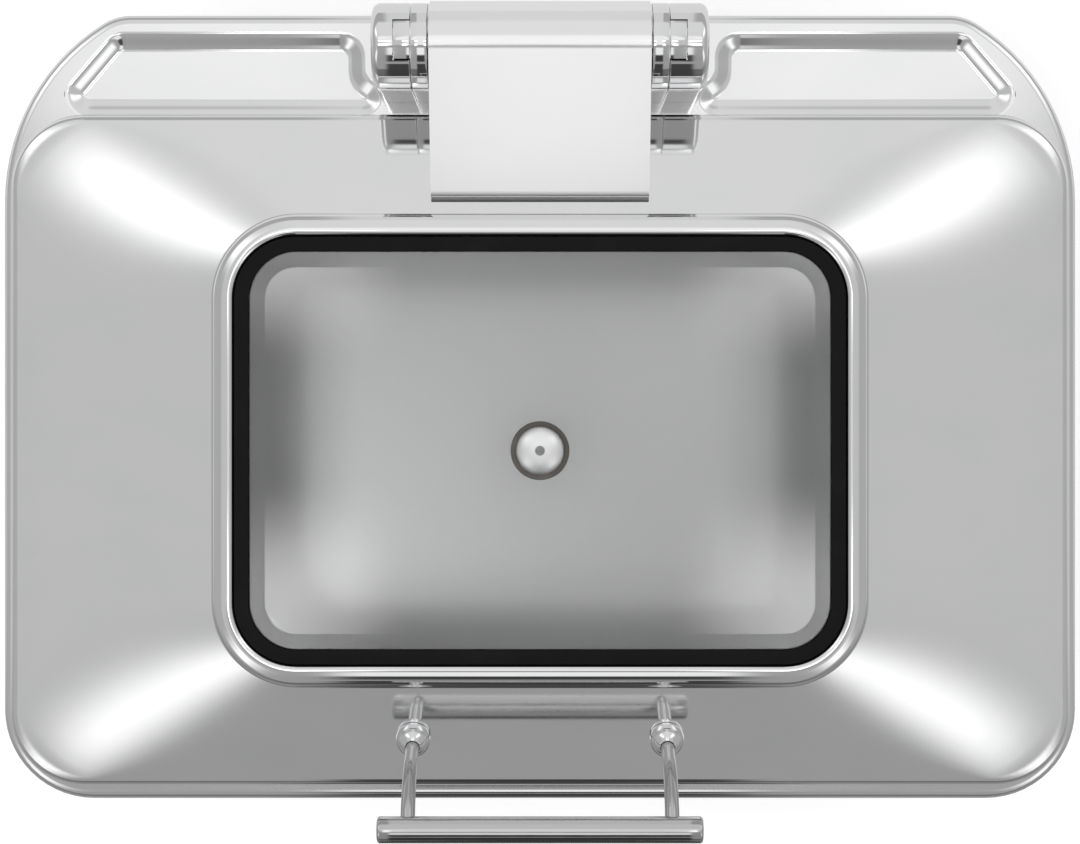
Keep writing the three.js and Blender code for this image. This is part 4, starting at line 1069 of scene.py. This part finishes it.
def make_floor():
    """A pale table: white to the eye but for the shadow, and in mirrors dark beyond the dish."""
    made, s = material("pale_floor")
    x, y, _ = s.parts("Object")
    eye, glossy, _ = s.rays()
    middle = s.fade(x.math("ABSOLUTE"), (0.14, 0.2))
    far = s.ramp(-y, (0.34, 0.42)) * (FLOOR_FAR_LOSS + middle * FLOOR_MIDDLE_LOSS)
    mirrored = FLOOR_MIRRORED + s.ramp(y, (0.15, 0.25)) * FLOOR_BACK_GAIN
    mirrored = mirrored - s.ramp(-y, (0.12, 0.2)) * FLOOR_FRONT_LOSS - far
    shade = s.mix(s.noise(0.3, detail=3.0), (0.8, 0.8, 0.8, 1), (0.83, 0.83, 0.83, 1))
    s.surface(
        Base_Color=s.mix(glossy, shade, (0.02, 0.02, 0.02, 1)),
        Roughness=0.9,
        Specular_IOR_Level=0.1,
        Emission_Color=(1, 1, 1, 1),
        Emission_Strength=eye * FLOOR_LIFT + glossy * mirrored,
    )
    mesh = bpy.data.meshes.new("floor")
    corners = [(a * FLOOR_HALF, b * FLOOR_HALF, 0) for a, b in ((-1, -1), (1, -1), (1, 1), (-1, 1))]
    mesh.from_pydata(corners, [], [(0, 1, 2, 3)])
    mesh.materials.append(made)
    floor = bpy.data.objects.new("floor", mesh)
    bpy.context.scene.collection.objects.link(floor)


def slope_light(s, x, y, z):
    """What tilted steel mirrors, by the height of a direction: 1 straight up, 0 at the horizon."""
    middle = s.fade(x.math("ABSOLUTE"), MIDDLE_SPAN)
    back = BACK_LEVEL - s.fade(z, (0.46, 0.58)) * (1.0 - middle * 0.8) * BACK_LOSS
    front = (1.0 - middle) * (FRONT_LEVEL + s.ramp(z, (0.25, 0.35)) * FRONT_GAIN)
    slope = s.ramp(z, (0.53, 0.56)) * s.fade(z, (0.62, 0.65)) * MIDDLE_SLOPE_GAIN
    front = front + middle * (MIDDLE_LEVEL + slope + s.ramp(z, (0.82, 0.87)) * MIDDLE_TOP_GAIN)
    side = SIDE_LEVEL + s.ramp(z, (0.74, 0.81)) * SIDE_GAIN
    ahead, behind = y.math("MAXIMUM", 0.0), (-y).math("MAXIMUM", 0.0)
    flat = (x * x + y * y).math("MAXIMUM", 0.0001)
    around = (x * x * side + ahead * ahead * back + behind * behind * front) / flat

    turned = y * y * (1.1 + s.ramp(y, (-0.1, 0.1)) * 0.5)
    spread = x * x + turned
    diagonal = (x * x * turned * 4.0 / (spread * spread)) ** DIAGONAL_FOCUS
    return around + diagonal * s.ramp(z, (0.4, 0.55)) * s.fade(z, (0.82, 0.92)) * DIAGONAL_LEVEL


def overhead_light(s, x, y):
    """What level steel mirrors: paler towards the back, greyer in front, and bright right above."""
    wide = x.math("ABSOLUTE")
    middle = s.fade(wide, MIDDLE_SPAN)
    outer = 1.0 - middle
    strip = s.ramp(y, (0.1, 0.155)) * s.fade(wide, (0.22, 0.26)) * STRIP_GAIN
    grey = s.ramp(-y, (0.08, 0.12))
    band = middle * grey * s.fade(-y, (0.2, 0.24)) * BAND_LOSS
    centre = middle.math("MAXIMUM", s.fade(x * x + y * y, (0.004, 0.02)))
    top = TOP_LEVEL + (strip - grey * TOP_FRONT_LOSS) * outer - band + centre * TOP_GAIN
    return top.math("MINIMUM", outer * STRIP_LIMIT + TOP_LIMIT)


def make_world():
    """White to the eye, and a soft studio to steel and glass, with a lamp's glow at each corner."""
    world = bpy.data.worlds.new("studio")
    bpy.context.scene.world = world
    s = Shader(world)
    x, y, z = s.parts("Generated")
    eye, glossy, through = s.rays()
    overhead = s.ramp(z, (0.93, 0.965))
    level = slope_light(s, x, y, z) * (1.0 - overhead) + overhead_light(s, x, y) * overhead
    wide, deep = x.math("ABSOLUTE"), y.math("ABSOLUTE")
    corner = s.ramp(wide, (0.06, 0.13)) * s.ramp(deep, (0.025, 0.085)) * s.ramp(z, (0.9, 0.95))
    corner = corner * s.fade(wide, (0.142, 0.157)) * s.fade(y, (0.09, 0.105)) * s.fade(-y, (0.12, 0.14))
    level = level + corner * glossy * CORNER_GLOW
    sharp = glossy.math("MAXIMUM", through)
    strength = eye + (1.0 - eye) * (sharp * level + (1.0 - sharp) * SOFT_LIGHT)
    shade = s.node("ShaderNodeBackground", None, {"Color": (1, 1, 1, 1), "Strength": strength})
    s.node("ShaderNodeOutputWorld", None, {"Surface": shade})


def make_lamps():
    """Two soft lamps that shape dull surfaces and stay out of mirrors."""
    for name, spot, size, power in (
        ("key", (-0.9, -0.7, 2.1), 1.4, 16.0),
        ("fill", (1.1, 0.8, 1.9), 1.6, 9.0),
    ):
        lamp = bpy.data.lights.new(name, "AREA")
        lamp.shape = "SQUARE"
        lamp.size = size
        lamp.energy = power
        made = bpy.data.objects.new(name, lamp)
        made.location = spot
        made.rotation_euler = (-Vector(spot)).to_track_quat("-Z", "Y").to_euler()
        made.visible_glossy = False
        bpy.context.scene.collection.objects.link(made)


def make_camera():
    """Straight down, above a point a little behind the middle of the dish."""
    data = bpy.data.cameras.new("overhead")
    data.sensor_width = SENSOR
    data.lens = LENS
    data.clip_end = CAMERA_REACH
    camera = bpy.data.objects.new("overhead", data)
    camera.location = (0.0, CAMERA_Y, RIM_Z + CAMERA_HEIGHT)
    bpy.context.scene.collection.objects.link(camera)
    bpy.context.scene.camera = camera


finish_nodes()
make_water_pan()
make_food_pan()
make_lid_shell()
make_bezel()
make_seal()
make_glass()
make_vent()
for side, word in ((-1, "left"), (1, "right")):
    make_hinge_feet(side, word)
make_cover()
make_handle()
make_plate()
make_floor()
make_world()
make_lamps()
make_camera()
bpy.context.scene.view_settings.view_transform = "Standard"
